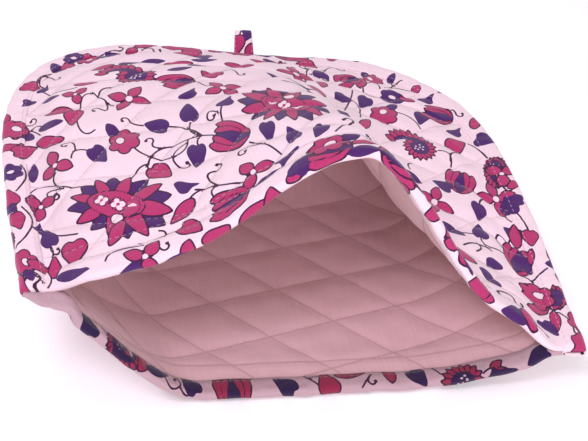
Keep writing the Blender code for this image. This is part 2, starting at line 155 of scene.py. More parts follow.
@dataclass
class LyingShape:
    """The cosy's shape at rest: flat cloth points in, places in space out.

    Sizes are in millimetres; places come out in metres, in the object's frame.
    """
    width: float = 320.0  # panel across the mouth
    height: float = 240.0  # panel from mouth to top
    power: float = 3.4  # squareness of the dome's shoulders
    pressed: float = 2.4  # each panel inside the bound edge
    gap: float = 0.3  # air between the panels there
    flange: float = 13.0  # how far the panels run together
    soften: float = 34.0  # where a panel has left the edge's slope
    lift_off: float = 0.2  # share of the rise over which the back leaves the table
    table_mouth: float = 3.4  # middle of the back panel over its mouth strip
    table_panel: float = 1.0  # middle of the back panel on the table
    step_down: float = 22.0  # from the mouth strip down to the table
    lift_from: float = 150.0  # where the back panel starts to rise to the top
    lift_to: float = 270.0  # where that rise would end
    apart: float = 0.06  # least share across a panel between two set points
    fine: int = 321  # points across a panel's table
    rows: int = 241  # rows in it
    rim_points: int = 1601  # points along the rim
    centre: Pair = (-0.2, -1.2)
    # by its left corner the back's mouth is pulled up: flat places where that starts, is
    # full, is still full and ends, how deep it goes, and how far it moves the cloth (x, y, z)
    pulled: tuple[float, float, float, float] = (-143, -128, -114, -58)
    pulled_deep: float = 62.0
    pull: tuple[float, float, float] = (4.2, 2.2, 3.8)
    # in the corner itself the back's mouth stands out beyond the front's: the same four
    # places, how deep, and how far towards the mouth
    pushed: tuple[float, float, float, float] = (-160, -146, -143, -129)
    pushed_deep: float = 26.0
    push: float = 8.0
    # outer rim of the bound edge, left mouth corner to right: x, y, z, tilt in degrees
    rim_rows: tuple = (
        (-124, -101, 55, 18), (-131, -66, 59, 10), (-139, -24, 63, 4), (-145, 20, 66, 2),
        (-144, 64, 67, 0), (-131, 98, 67, -2), (-107, 116, 67, -4), (-76, 121, 67, -6),
        (-40, 119, 64, -8), (-5, 117, 59, -8), (32, 114, 56, -6), (62, 109, 55, -4),
        (86, 97, 54, -2), (107, 79, 52, 0), (123, 60, 49, 0), (136, 24, 45, 0),
        (141, -13, 40, 0), (144, -42, 33, -2), (146, -82, 24, -4), (146, -112, 20, -6),
        (146, -132, 19, -5))
    # front panel at distance v from the mouth: x, z and drawn-back distance of the left
    # shoulder, of the ridge and of the right flank's foot
    front_rows: tuple = (
        (0, -50, 71, 8, 40, 115, 27, 104, 38, 10),
        (30, -52, 77, 9, 36, 111, 27, 86, 46, 15),
        (60, -56, 81, 10, 27, 103, 27, 72, 50, 18),
        (100, -62, 84, 12, 18, 94, 25, 68, 53, 16),
        (150, -66, 81, 10, 6, 80, 19, 66, 57, 11),
        (200, -62, 74, 4, 0, 71, 7, 50, 60, 4),
        (240, -20, 64, 0, -5, 61, 0, 5, 60, 0))
    # back panel at distance v: x where it meets the table on the left and right, and how
    # far its left and right parts are pushed towards the mouth
    back_rows: tuple = (
        (0, -40, 60, 18, 9), (50, -60, 70, 14, 7), (100, -68, 72, 9, 5),
        (150, -62, 60, 6, 3), (200, -45, 40, 2, 1), (240, -15, 5, 0, 0))

    def __post_init__(self) -> None:
        """Work out the flat outline, the rim and both panels' tables."""
        t = np.linspace(math.pi, 0.0, 2401)
        c, s = np.cos(t), np.sin(t)
        r = (np.abs(c) ** self.power + np.abs(s) ** self.power) ** (-1 / self.power)
        self.outline = np.stack([r * c * self.width / 2, r * s * self.height], axis=1)
        self.run = self.lengths(self.outline)
        self.edge = self.run[-1]
        self.tangent = unit(np.gradient(self.outline, axis=0))
        self.rim, self.rim_out, self.rim_along = self.rim_curve()
        self.tables = {Side.FRONT: self.table(self.front_row),
                       Side.BACK: self.table(self.back_row)}

    @staticmethod
    def lengths(points: Array) -> Array:
        """Distance along a line of points."""
        return np.concatenate([[0.0], np.cumsum(np.linalg.norm(np.diff(points, axis=0), axis=1))])

    def rim_curve(self) -> tuple[Array, Array, Array]:
        """Run a natural spline through the rim rows.

        Returns:
            Rim points, outward directions and directions along it, in millimetres.
        """
        rows = np.array(self.rim_rows, float)
        chord = self.lengths(rows[:, :3])
        n, h = len(rows), np.diff(chord)
        a = np.eye(n)
        for i in range(1, n - 1):
            a[i, i - 1:i + 2] = h[i - 1], 2 * (h[i - 1] + h[i]), h[i]
        t = np.linspace(0, chord[-1], 6001)
        k = np.clip(np.searchsorted(chord, t, side="right") - 1, 0, n - 2)
        left, right = chord[k + 1] - t, t - chord[k]
        cols = []
        for y in rows[:, :3].T:
            b = np.zeros(n)
            b[1:-1] = 6 * ((y[2:] - y[1:-1]) / h[1:] - (y[1:-1] - y[:-2]) / h[:-1])
            m = np.linalg.solve(a, b)
            cols.append((m[k] * left ** 3 + m[k + 1] * right ** 3) / (6 * h[k])
                        + (y[k] / h[k] - m[k] * h[k] / 6) * left
                        + (y[k + 1] / h[k] - m[k + 1] * h[k] / 6) * right)
        points, tilt = np.stack(cols, axis=1), np.radians(np.interp(t, chord, rows[:, 3]))
        run = self.lengths(points)
        even = np.linspace(0, run[-1], self.rim_points)
        points = read_rows(even, run, points)
        tilt = np.interp(even, run, tilt)[:, None]
        along = unit(np.gradient(points, axis=0))
        out = unit(np.stack([-along[:, 1], along[:, 0], np.zeros(len(even))], axis=1))
        out = out * np.cos(tilt) + np.array([0, 0, 1.0]) * np.sin(tilt)
        out = unit(out - along * np.sum(out * along, axis=1, keepdims=True))
        return points, out, along

    def rim_at(self, s: Array) -> tuple[Array, Array, Array]:
        """Rim points, outward directions and upward normals at flat distances s.

        Args:
            s: distance along the flat edge; past either end the rim runs on straight.
        Returns:
            Points, outward directions and normals.
        """
        t = np.clip(s / self.edge, 0, 1) * (len(self.rim) - 1)
        k = np.arange(len(self.rim))
        p, o, a = (read_rows(t, k, m) for m in (self.rim, self.rim_out, self.rim_along))
        past = s - np.clip(s, 0, self.edge)
        return p + a * past[..., None], unit(o), unit(np.cross(a, o))

    def flat_edge(self, s: Array) -> tuple[Array, Array]:
        """Flat points of the bound edge at distances s along it, and the way in from them.

        Args:
            s: distance along the flat edge.
        Returns:
            Flat points and inward directions.
        """
        point, along = (read_rows(s, self.run, m) for m in (self.outline, self.tangent))
        along = unit(along)
        return point, np.stack([along[..., 1], -along[..., 0]], axis=-1)

    def column(self, rows: tuple, index: int, v: float) -> float:
        """One column of a table of rows, read at distance v from the mouth."""
        return float(smooth_through(np.array([v]), [r[0] for r in rows],
                                    [r[index] for r in rows])[0])

    def row_ends(self, v: float) -> tuple[Array, Array]:
        """Rim points where the line across a panel at v meets the bound edge.

        Args:
            v: distance from the mouth.
        Returns:
            The left point and the right one.
        """
        half = len(self.outline) // 2 + 1
        s = float(np.interp(v, self.outline[:half, 1], self.run[:half]))
        ends = self.rim_at(np.array([s, self.edge - s]))[0]
        return ends[0], ends[1]

    def front_row(self, v: float) -> Array:
        """Points across the front panel.

        Args:
            v: distance from the mouth.
        Returns:
            Points from left to right, in millimetres.
        """
        left, right = self.row_ends(v)
        col = [self.column(self.front_rows, c, v) for c in range(1, 10)]
        f = np.linspace(0, 1, self.fine)
        knots = [0.0]
        for x in col[0::3]:
            share = max((x - left[0]) / (right[0] - left[0]), knots[-1] + self.apart)
            knots.append(min(share, 1 - self.apart / 2))
        knots.append(1.0)
        points = left + (right - left) * f[:, None]
        points[:, 1] += smooth_through(f, knots, [0.0, *col[2::3], 0.0])
        points[:, 2] = smooth_through(f, knots, [left[2], *col[1::3], right[2]])
        return points

    def climb(self, h: Array) -> Array:
        """Share of the back panel's climb: level at first, then straight.

        Args:
            h: share of the way from the table to the bound edge.
        Returns:
            Share of the height.
        """
        h = np.clip(h, 0.0, 1.0)
        full = 1 + self.lift_off * (math.exp(-1 / self.lift_off) - 1)
        return (h + self.lift_off * (np.exp(-h / self.lift_off) - 1)) / full

    def back_row(self, v: float) -> Array:
        """Points across the back panel.

        Args:
            v: distance from the mouth.
        Returns:
            Points from left to right, in millimetres.
        """
        left, right = self.row_ends(v)
        a, b, ahead_left, ahead_right = (self.column(self.back_rows, c, v) for c in range(1, 5))
        f = np.linspace(0, 1, self.fine)
        span = right[0] - left[0]
        fa = min(max((a - left[0]) / span, self.apart), 0.45)
        fb = max(min((b - left[0]) / span, 1 - self.apart), 0.55)
        drop = 1 - float(ease((v - self.flange) / self.step_down))
        low = self.table_panel + (self.table_mouth - self.table_panel) * drop
        lift = float(ease((v - self.lift_from) / (self.lift_to - self.lift_from)))
        low += lift * ((left[2] + right[2]) / 2 - low)
        points = left + (right - left) * f[:, None]
        points[:, 1] -= smooth_through(f, [0, 0.2, 0.7, 1], [0, ahead_left, ahead_right, 0])
        points[:, 2] = np.where(f < 0.5, low + (left[2] - low) * self.climb(1 - f / fa),
                                low + (right[2] - low) * self.climb((f - fb) / (1 - fb)))
        return points

    def table(self, row: Callable[[float], Array]) -> Array:
        """Tabulate a panel on even shares across it, for even distances from the mouth.

        Args:
            row: gives the points across the panel at a distance from the mouth.
        Returns:
            Points, row by row.
        """
        share, grid = np.linspace(0, 1, self.fine), []
        for v in np.linspace(0, self.height, self.rows):
            points = row(v)
            run = self.lengths(points)
            run /= max(run[-1], 1e-9)
            grid.append(read_rows(share, run, points))
        return np.array(grid)

    def nearest_edge(self, u: Array, v: Array) -> tuple[Array, Array]:
        """Distance along and in from the bound edge for flat points.

        Args:
            u: flat distances across.
            v: flat distances from the mouth.
        Returns:
            Distances along the edge and in from it.
        """
        s, d = np.zeros(u.shape), np.zeros(u.shape)
        for start in range(0, len(u), 2000):
            part = slice(start, start + 2000)
            du = u[part, None] - self.outline[None, :, 0]
            dv = v[part, None] - self.outline[None, :, 1]
            k = np.argmin(du * du + dv * dv, axis=1)
            rows = np.arange(len(k))
            step = du[rows, k] * self.tangent[k, 0] + dv[rows, k] * self.tangent[k, 1]
            s[part] = np.clip(self.run[k] + step, 0, self.edge)
            d[part] = np.abs(du[rows, k] * self.tangent[k, 1] - dv[rows, k] * self.tangent[k, 0])
        return s, d

    def middle(self, side: Side, u: Array, v: Array, near: tuple | None = None) -> Array:
        """Where flat points of a panel's middle layer lie.

        Args:
            side: which panel.
            u: flat distances across, from the middle.
            v: flat distances from the mouth.
            near: their distances along and in from the bound edge, if known.
        Returns:
            Points, in millimetres, before the cosy is centred.
        """
        grid = self.tables[side]
        half = self.width / 2 * np.maximum(1 - np.clip(v / self.height, 0, 1) ** self.power,
                                           1e-9) ** (1 / self.power)
        q = np.clip(0.5 + 0.5 * u / half, 0, 1) * (grid.shape[1] - 1)
        r = np.clip(v / self.height, 0, 1) * (grid.shape[0] - 1)
        i = np.minimum(r.astype(int), grid.shape[0] - 2)
        j = np.minimum(q.astype(int), grid.shape[1] - 2)
        fr, fq = (r - i)[:, None], (q - j)[:, None]
        body = ((1 - fr) * ((1 - fq) * grid[i, j] + fq * grid[i, j + 1])
                + fr * ((1 - fq) * grid[i + 1, j] + fq * grid[i + 1, j + 1]))
        s, d = near or self.nearest_edge(u, v)
        share = ease((d - self.flange) / (self.soften - self.flange))[:, None]
        rim, out, up = self.rim_at(s)
        layer = rim - out * d[:, None] + up * side.value * (self.pressed + self.gap) / 2
        points = share * body + (1 - share) * layer
        return points + self.pulled_up(u, v) if side is Side.BACK else points

    def pulled_up(self, u: Array, v: Array) -> Array:
        """How far the back's mouth is pulled up and pushed out by its left corner.

        Args:
            u: flat distances across, from the middle.
            v: flat distances from the mouth.
        Returns:
            Offsets in millimetres, one row for each point.
        """
        across = []
        for start, full, still, end in (self.pulled, self.pushed):
            across.append(ease((u - start) / (full - start))
                          * (1 - ease((u - still) / (end - still))))
        share = across[0] * (1 - ease(v / self.pulled_deep))
        offset = share[:, None] * np.array(self.pull)
        offset[:, 1] -= across[1] * (1 - ease(v / self.pushed_deep)) * self.push
        return offset

    def placed(self, points: Array) -> Array:
        """Millimetres in the working frame to metres in the object's frame."""
        return (points + np.array([self.centre[0], self.centre[1], 0.0])) * MM

    def surface(self, side: Side, u: Array, v: Array) -> tuple[Array, Array]:
        """Middle points of a panel and its normals, pointing out of the cosy.

        Args:
            side: which panel.
            u: flat distances across.
            v: flat distances from the mouth; below 0 the cloth runs on straight.
        Returns:
            Points in millimetres, and normals.
        """
        step = 1.0
        inside = np.maximum(v, 0.0)
        lower = np.maximum(inside - step, 0.0)
        upper = np.maximum(inside + step, 2 * step)
        point = self.middle(side, u, inside)
        across = self.middle(side, u + step, inside) - self.middle(side, u - step, inside)
        deep = self.middle(side, u, upper) - self.middle(side, u, lower)
        normal = unit(np.cross(across, deep)) * side.value
        return point + unit(deep) * np.minimum(v, 0.0)[:, None], normal


SHAPE = LyingShape()


# ------------ quilting
@dataclass(frozen=True)
class Quilting:
    """Two sets of straight quilting lines, sewn through cloth, wadding and lining."""
    step: float = 33.0  # between neighbouring lines, mm
    steep: float = 45.0  # degrees from the mouth edge
    shallow: float = 15.0  # degrees from the mouth edge, the other way
    puff: float = 6.4  # thickness in the middle of a diamond
    stitched: float = 1.8  # thickness on a line
    reach: float = 13.0  # from a line to where the cloth is fully puffed
    edge_pressed: float = 2.4  # thickness inside the bound edge
    mouth_pressed: float = 2.5  # thickness inside a mouth strip
    full_loft: float = 22.0  # in from a binding to the full thickness
    mouth_row: float = 19.0  # a row of stitches along the mouth, this far in
    mouth_reach: float = 6.0  # how far beside it the cloth is drawn in
    mouth_drawn: float = 0.75  # share of the puff that it takes
    under_strip: float = 12.0  # the strips' width
    roundness: float = 2.8  # how steeply the cloth rises from a line
    back_start: Pair = (-6.0, 6.4)  # where the back's two sets begin
    # small gathers: their height and how far they reach, mm
    by_lines: Pair = (0.16, 5.0)
    by_edge: Pair = (0.42, 11.0)
    by_mouth: Pair = (0.22, 9.0)
    uneven: float = 0.22  # height of the slow waves of the whole cloth, mm

    def start(self, side: Side) -> Pair:
        """Where the two sets of lines begin on a panel."""
        return self.back_start if side is Side.BACK else (0.0, 0.0)

    def coordinates(self, side: Side, u: Array, v: Array) -> tuple[Array, Array]:
        """Distances across the two sets of lines.

        Args:
            side: which panel.
            u: flat distances across.
            v: flat distances from the mouth.
        Returns:
            Distances across the steep set and across the shallow one.
        """
        a, b = math.radians(self.steep), math.radians(self.shallow)
        first, second = self.start(side)
        return (v * math.cos(a) - side.value * u * math.sin(a) - first,
                v * math.cos(b) + side.value * u * math.sin(b) - second)

    def direction(self, side: Side, steep: bool) -> Pair:
        """The flat direction in which one set of lines runs."""
        a = math.radians(self.steep if steep else -self.shallow)
        return math.cos(a), side.value * math.sin(a)

    def to_line(self, across: Array) -> Array:
        """Distance to the nearest line of a set."""
        share = across / self.step
        return np.abs(share - np.round(share)) * self.step

    def thickness(self, side: Side, u: Array, v: Array, d: Array) -> Array:
        """Thickness of the quilted panel at flat points.

        Args:
            side: which panel.
            u: flat distances across.
            v: flat distances from the mouth.
            d: distances in from the bound edge.
        Returns:
            Thicknesses, in millimetres.
        """
        rise = np.ones(u.shape)
        for across in self.coordinates(side, u, v):
            near = np.clip(self.to_line(across) / self.reach, 0, 1)
            rise *= 1 - (1 - near) ** self.roundness
        row = 1 - np.clip(np.abs(v - self.mouth_row) / self.mouth_reach, 0, 1)
        rise *= 1 - self.mouth_drawn * row ** 2
        full = self.stitched + (self.puff - self.stitched) * rise
        for pressed, inside in ((self.edge_pressed, d - SHAPE.flange),
                                (self.mouth_pressed, v - self.under_strip)):
            swell = np.clip(inside / self.full_loft, 0, 1) ** 0.7
            full = np.minimum(full, pressed + (self.puff - pressed) * swell)
        return np.where(d < SHAPE.flange, np.minimum(full, self.edge_pressed), full)

    def pucker(self, side: Side, u: Array, v: Array, s: Array, d: Array) -> Array:
        """Small gathers beside the lines and the bindings, in millimetres.

        Args:
            side: which panel.
            u: flat distances across.
            v: flat distances from the mouth.
            s: distances along the bound edge.
            d: distances in from the bound edge.
        Returns:
            Heights to add to the outer cloth.
        """
        a, b = self.coordinates(side, u, v)
        total = np.zeros(u.shape)
        for seed, (across, along) in enumerate(((a, b), (b, a))):
            wave = ripples(along, across * 0.25, 6, 11, 40 + seed)
            high, reach = self.by_lines
            total += high * wave * np.exp(-(self.to_line(across) / reach) ** 2)
        edge = ripples(s, d * 0.12, 8, 16, 44 + side.value)
        mouth = ripples(u, v * 0.12, 9, 18, 47 + side.value)
        for wave, inward, (high, reach) in ((edge, d, self.by_edge), (mouth, v, self.by_mouth)):
            inside = np.maximum(inward - self.under_strip, 0)
            total += high * wave * np.exp(-(inside / reach) ** 2)
        return total + self.uneven * ripples(u, v, 16, 40, 50 + side.value)


QUILTING = Quilting()


# ------------ the printed flowers
class Ink(IntEnum):
    """What a shape of the print is filled with."""
    PINK = 0
    PURPLE = 1
    LINE = 2
    BARE = 3


# the columns after the three inks: distance to the nearest stalk, and signed distance across it
STALK, ACROSS = 3, 4


class Motif(Enum):
    """The flowers and leaves that the print is made of."""
    HEART_PINK = "round pink leaf"
    HEART_PURPLE = "round purple leaf"
    LEAF_PINK = "slender pink leaf"
    LEAF_PURPLE = "slender purple leaf"
    FOLDED = "folded purple leaf"
    TRUMPET = "trumpet-shaped purple leaf"
    BUD = "pink bud"
    CROSS = "flower of four petals"
    TREFOIL = "flower of three petals"
    ROSE = "lobed flower with a bud"
    VIOLET = "purple flower of six lobes"
    TULIP = "half-open flower in a purple cup"
    SUN = "round flower with many rays"
    SUN_SMALL = "smaller flower with many rays"
    LOTUS = "large flower with pointed petals"


(HEART_PINK, HEART_PURPLE, LEAF_PINK, LEAF_PURPLE, FOLDED, TRUMPET, BUD, CROSS, TREFOIL, ROSE,
 VIOLET, TULIP, SUN, SUN_SMALL, LOTUS) = Motif

# outlines in millimetres, tip towards +x, upper half from tip to stalk
ROUND_LEAF = ((7.2, 0), (3.2, 3.2), (-1.2, 5.4), (-4.8, 4.9), (-6.6, 2.6), (-5.6, 0))
SLIM_LEAF = ((8.2, 0), (3.6, 2.5), (-1, 3.3), (-5.2, 2.4), (-8, 0))
CROSS_PETAL = ((12.5, 0), (8.5, 2.8), (5, 2.9), (1.4, 0))
TREFOIL_PETAL = ((9.5, 0), (6.8, 2.8), (3.4, 2.7), (1.0, 0))
TULIP_CUP = ((8.5, 0), (3.5, 2.2), (-2.5, 3.4), (-8.0, 1.6), (-10.5, 0))
BUD_PETAL = ((5.2, 0), (2.2, 2.6), (-2.2, 2.6), (-5.0, 0))
# whole outlines, anticlockwise
FOLDED_LEAF = ((6.8, 3.6), (1.5, 3.2), (-4.5, 4.0), (-6.8, 2.2), (-4.6, -0.8), (-1.2, -3.8),
               (2.4, -3.2), (3.8, 0.4))
TRUMPET_LEAF = ((6.2, 4.0), (2.0, 2.4), (-3.0, 1.5), (-7.2, 0.6), (-7.0, -0.9), (-2.0, -1.8),
                (2.6, -3.4), (5.8, -4.4), (4.6, 0.2))
TULIP_OUTER = ((10.5, 7.4), (6.5, 9.6), (0.5, 9.0), (-6.5, 6.4), (-10, 1.0), (-5.0, 3.4),
               (1.0, 3.6), (6.5, 3.4), (8.0, 5.4))
TULIP_INNER = ((9.5, 1.6), (8.2, 4.4), (2.5, 5.6), (-3.5, 4.6), (-8.5, 0.6), (-2.5, 2.0),
               (4.0, 1.8))

# motif, where its middle lies (u, v) in millimetres, and which way its tip points, in degrees
MOTIFS = (
    (CROSS, -79, 127, -33), (HEART_PINK, -112, 121, -104), (HEART_PURPLE, -53, 95, 78),
    (HEART_PURPLE, -72, 90, 148), (ROSE, -91, 85, 108), (TULIP, -40, 58, 146),
    (HEART_PURPLE, -60, 55, -112), (HEART_PINK, -80, 54, -60), (FOLDED, -32, 93, 29),
    (LOTUS, -106, 40, -30), (TREFOIL, -129, 82, 94), (HEART_PURPLE, -106, 80, -66),
    (LEAF_PURPLE, -126, 120, 0), (TRUMPET, -146, 38, 123), (HEART_PINK, -131, 17, -100),
    (FOLDED, -72, 35, -35), (LEAF_PINK, -77, 22, -145), (TREFOIL, -39, 20, 0), (BUD, -56, 14, 77),
    (TRUMPET, -22, 17, -155), (HEART_PINK, -27, 155, 123), (SUN, -70, 160, 160),
    (CROSS, 27, 175, 20), (LEAF_PINK, 43, 174, -98), (TULIP, 67, 203, -116), (ROSE, 82, 211, 121),
    (VIOLET, 90, 187, 0), (BUD, 99, 188, -37), (HEART_PURPLE, 70, 169, -111),
    (HEART_PURPLE, 54, 161, -122), (ROSE, 81, 157, 58), (HEART_PURPLE, 105, 164, -98),
    (TULIP, 117, 177, 168), (LEAF_PINK, 65, 134, 62), (SUN, 99, 128, 164),
    (HEART_PINK, 124, 144, 40), (FOLDED, 126, 159, 37), (TULIP, 119, 105, 77),
    (HEART_PURPLE, 107, 97, 154), (LEAF_PURPLE, 88, 95, -22), (CROSS, 98, 78, 77),
    (CROSS, 140, 105, 107), (HEART_PURPLE, 125, 84, -94), (HEART_PURPLE, 121, 65, 87),
    (LEAF_PURPLE, 104, 57, 157), (HEART_PURPLE, 143, 79, 140), (TULIP, 140, 58, 72),
    (CROSS, -27, 120, -66), (LOTUS, -7, 73, 128), (LEAF_PINK, -129, 106, -15),
    (LEAF_PURPLE, -122, 149, -11), (LEAF_PINK, -119, 132, 169), (TREFOIL, -107, 144, 156),
    (LEAF_PINK, -100, 157, -10), (TULIP, -48, 147, -170), (FOLDED, -46, 119, 27),
    (HEART_PURPLE, -24, 47, -110), (HEART_PURPLE, -15, 34, 97), (HEART_PURPLE, -3, 28, -130),
    # towards the top
    (LEAF_PURPLE, -58, 188, 5), (LEAF_PINK, -43, 183, -8), (LEAF_PURPLE, -31, 173, 12),
    (LEAF_PURPLE, -44, 165, 15), (LEAF_PINK, -88, 179, 8), (LEAF_PURPLE, -27, 186, 0),
    (LEAF_PURPLE, -71, 182, 20), (LEAF_PINK, -7, 178, -10), (LEAF_PURPLE, 18, 206, 12),
    (LEAF_PINK, 10, 198, 20), (BUD, 61, 190, 20),
    # along the front panel's mouth
    (LEAF_PURPLE, -134, 1, 0), (TRUMPET, -107, -4, 20), (BUD, -81, -5, 60),
    (LEAF_PURPLE, -88, -8, 10), (HEART_PINK, -66, -6, 15), (LEAF_PINK, -47, -6, 10),
    (HEART_PINK, -36, -8, 75), (BUD, -21, -2, 200), (TULIP, -4, 3, 170), (LEAF_PURPLE, 11, -2, 15),
    (TULIP, 27, 0, 12), (LEAF_PURPLE, 42, 0, 10), (BUD, 55, -3, -100), (LEAF_PURPLE, 69, -2, -20),
    (TREFOIL, 77, 0, -20), (LEAF_PINK, 102, 31, -25), (LEAF_PURPLE, 115, 23, -28),
    (BUD, 103, -5, 10), (HEART_PURPLE, 121, -3, 195), (BUD, 129, 0, -60), (LEAF_PINK, 92, 14, 20),
    # along the right of the bound edge
    (LEAF_PURPLE, 94, 216, 70), (BUD, 108, 206, 60), (FOLDED, 113, 195, 20), (BUD, 139, 170, 90),
    (HEART_PURPLE, 143, 154, -20), (SUN_SMALL, 145, 130, -59), (BUD, 152, 115, 30),
    (HEART_PURPLE, 151, 104, 170), (HEART_PINK, 152, 76, -100), (FOLDED, 121, 39, 200),
    (HEART_PURPLE, 160, 57, 175), (SUN_SMALL, 152, 30, 75), (LEAF_PINK, 142, 24, 200),
    (LEAF_PINK, 149, 17, -95), (HEART_PINK, 158, 2, -60),
    # along the left of it
    (HEART_PINK, -134, 172, 200), (HEART_PURPLE, -117, 196, 120), (HEART_PINK, -109, 199, 95),
    (FOLDED, -125, 166, 40), (FOLDED, -137, 154, 200), (ROSE, -97, 207, 20), (VIOLET, -107, 209, 0),
    (HEART_PURPLE, -83, 216, 150), (BUD, -72, 223, 90), (LEAF_PINK, -36, 205, 5),
    (BUD, -151, 139, -90), (FOLDED, -144, 128, 150), (LEAF_PINK, -153, 109, 0),
    (LEAF_PINK, -147, 104, 80), (VIOLET, -155, 86, 0), (HEART_PINK, -158, 65, 100),
    (LEAF_PINK, -147, 59, -88), (HEART_PINK, -157, 46, -80), (ROSE, -158, 16, -80),
    (LEAF_PINK, -150, 12, -30),
    # round the far side of the bound edge
    (ROSE, -3, 250, 20), (HEART_PURPLE, -18, 242, 60), (LEAF_PINK, 14, 248, 30),
    (SUN_SMALL, 33, 250, -30), (HEART_PURPLE, 50, 244, 100), (CROSS, 67, 248, 10),
    (LEAF_PURPLE, 84, 240, -30), (HEART_PINK, 100, 236, 50), (HEART_PURPLE, 116, 226, -40),
    (TULIP, -54, 250, 170), (LEAF_PURPLE, -34, 250, 10), (HEART_PINK, -76, 248, -50),
    (TREFOIL, -100, 240, 40), (HEART_PURPLE, -121, 227, 120), (LEAF_PINK, -138, 208, 50),
    (ROSE, -152, 190, 10), (HEART_PURPLE, -161, 172, 60), (BUD, -168, 150, 80),
    (TREFOIL, -172, 124, 30), (HEART_PURPLE, -174, 100, 90), (LEAF_PINK, -176, 78, 80),
    (LEAF_PURPLE, -176, 58, 100), (ROSE, -176, 34, 0), (HEART_PURPLE, -176, 10, -60),
    (HEART_PINK, 158, 172, 40), (LEAF_PURPLE, 166, 150, 70), (ROSE, 171, 126, -50),
    (HEART_PINK, 175, 104, 10), (LEAF_PURPLE, 177, 84, 80), (TREFOIL, 177, 56, 20),
    (HEART_PURPLE, 178, 32, 100), (LEAF_PINK, 178, 10, 80),
    # behind the ridge
    (SUN, 30, 118, 30), (HEART_PURPLE, 14, 122, -40), (HEART_PINK, 34, 146, 80),
    (LEAF_PURPLE, 12, 150, 140), (TULIP, 34, 84, -60), (ROSE, 60, 108, 20),
    (HEART_PURPLE, 50, 128, 70), (HEART_PURPLE, 62, 86, -100), (TREFOIL, 76, 68, 10),
    (LEAF_PINK, 44, 62, -120), (HEART_PURPLE, 30, 34, 60), (TULIP, 52, 34, 110),
    # above the shoulders, where only the strips are cut
    (CROSS, -148, 218, 30), (HEART_PURPLE, -36, 222, -60), (HEART_PURPLE, -28, 196, 150),
    (TREFOIL, -8, 212, 20), (SUN_SMALL, 18, 214, 80), (HEART_PINK, 38, 226, -40),
    (HEART_PURPLE, 46, 200, 100), (CROSS, 128, 210, 50), (HEART_PINK, 148, 200, -90),
)

# the back panel, where the front's print is hidden behind its ridge
BACK_MOTIFS = MOTIFS + (
    (ROSE, 80, 40, 20), (TREFOIL, -7, 137, 120), (HEART_PURPLE, -1, 107, 60),
    (LEAF_PINK, 22, 56, 80), (CROSS, -98, 108, 10), (HEART_PURPLE, -58, 209, -40),
    (LEAF_PURPLE, -75, 70, 30), (HEART_PINK, -6, 159, 100), (BUD, 15, 20, 60),
    (HEART_PINK, 75, 20, -60), (HEART_PURPLE, 10, 44, 150), (BUD, -113, 96, 50),
    (LEAF_PURPLE, -108, 181, 20), (LEAF_PINK, 62, 150, 40),
)

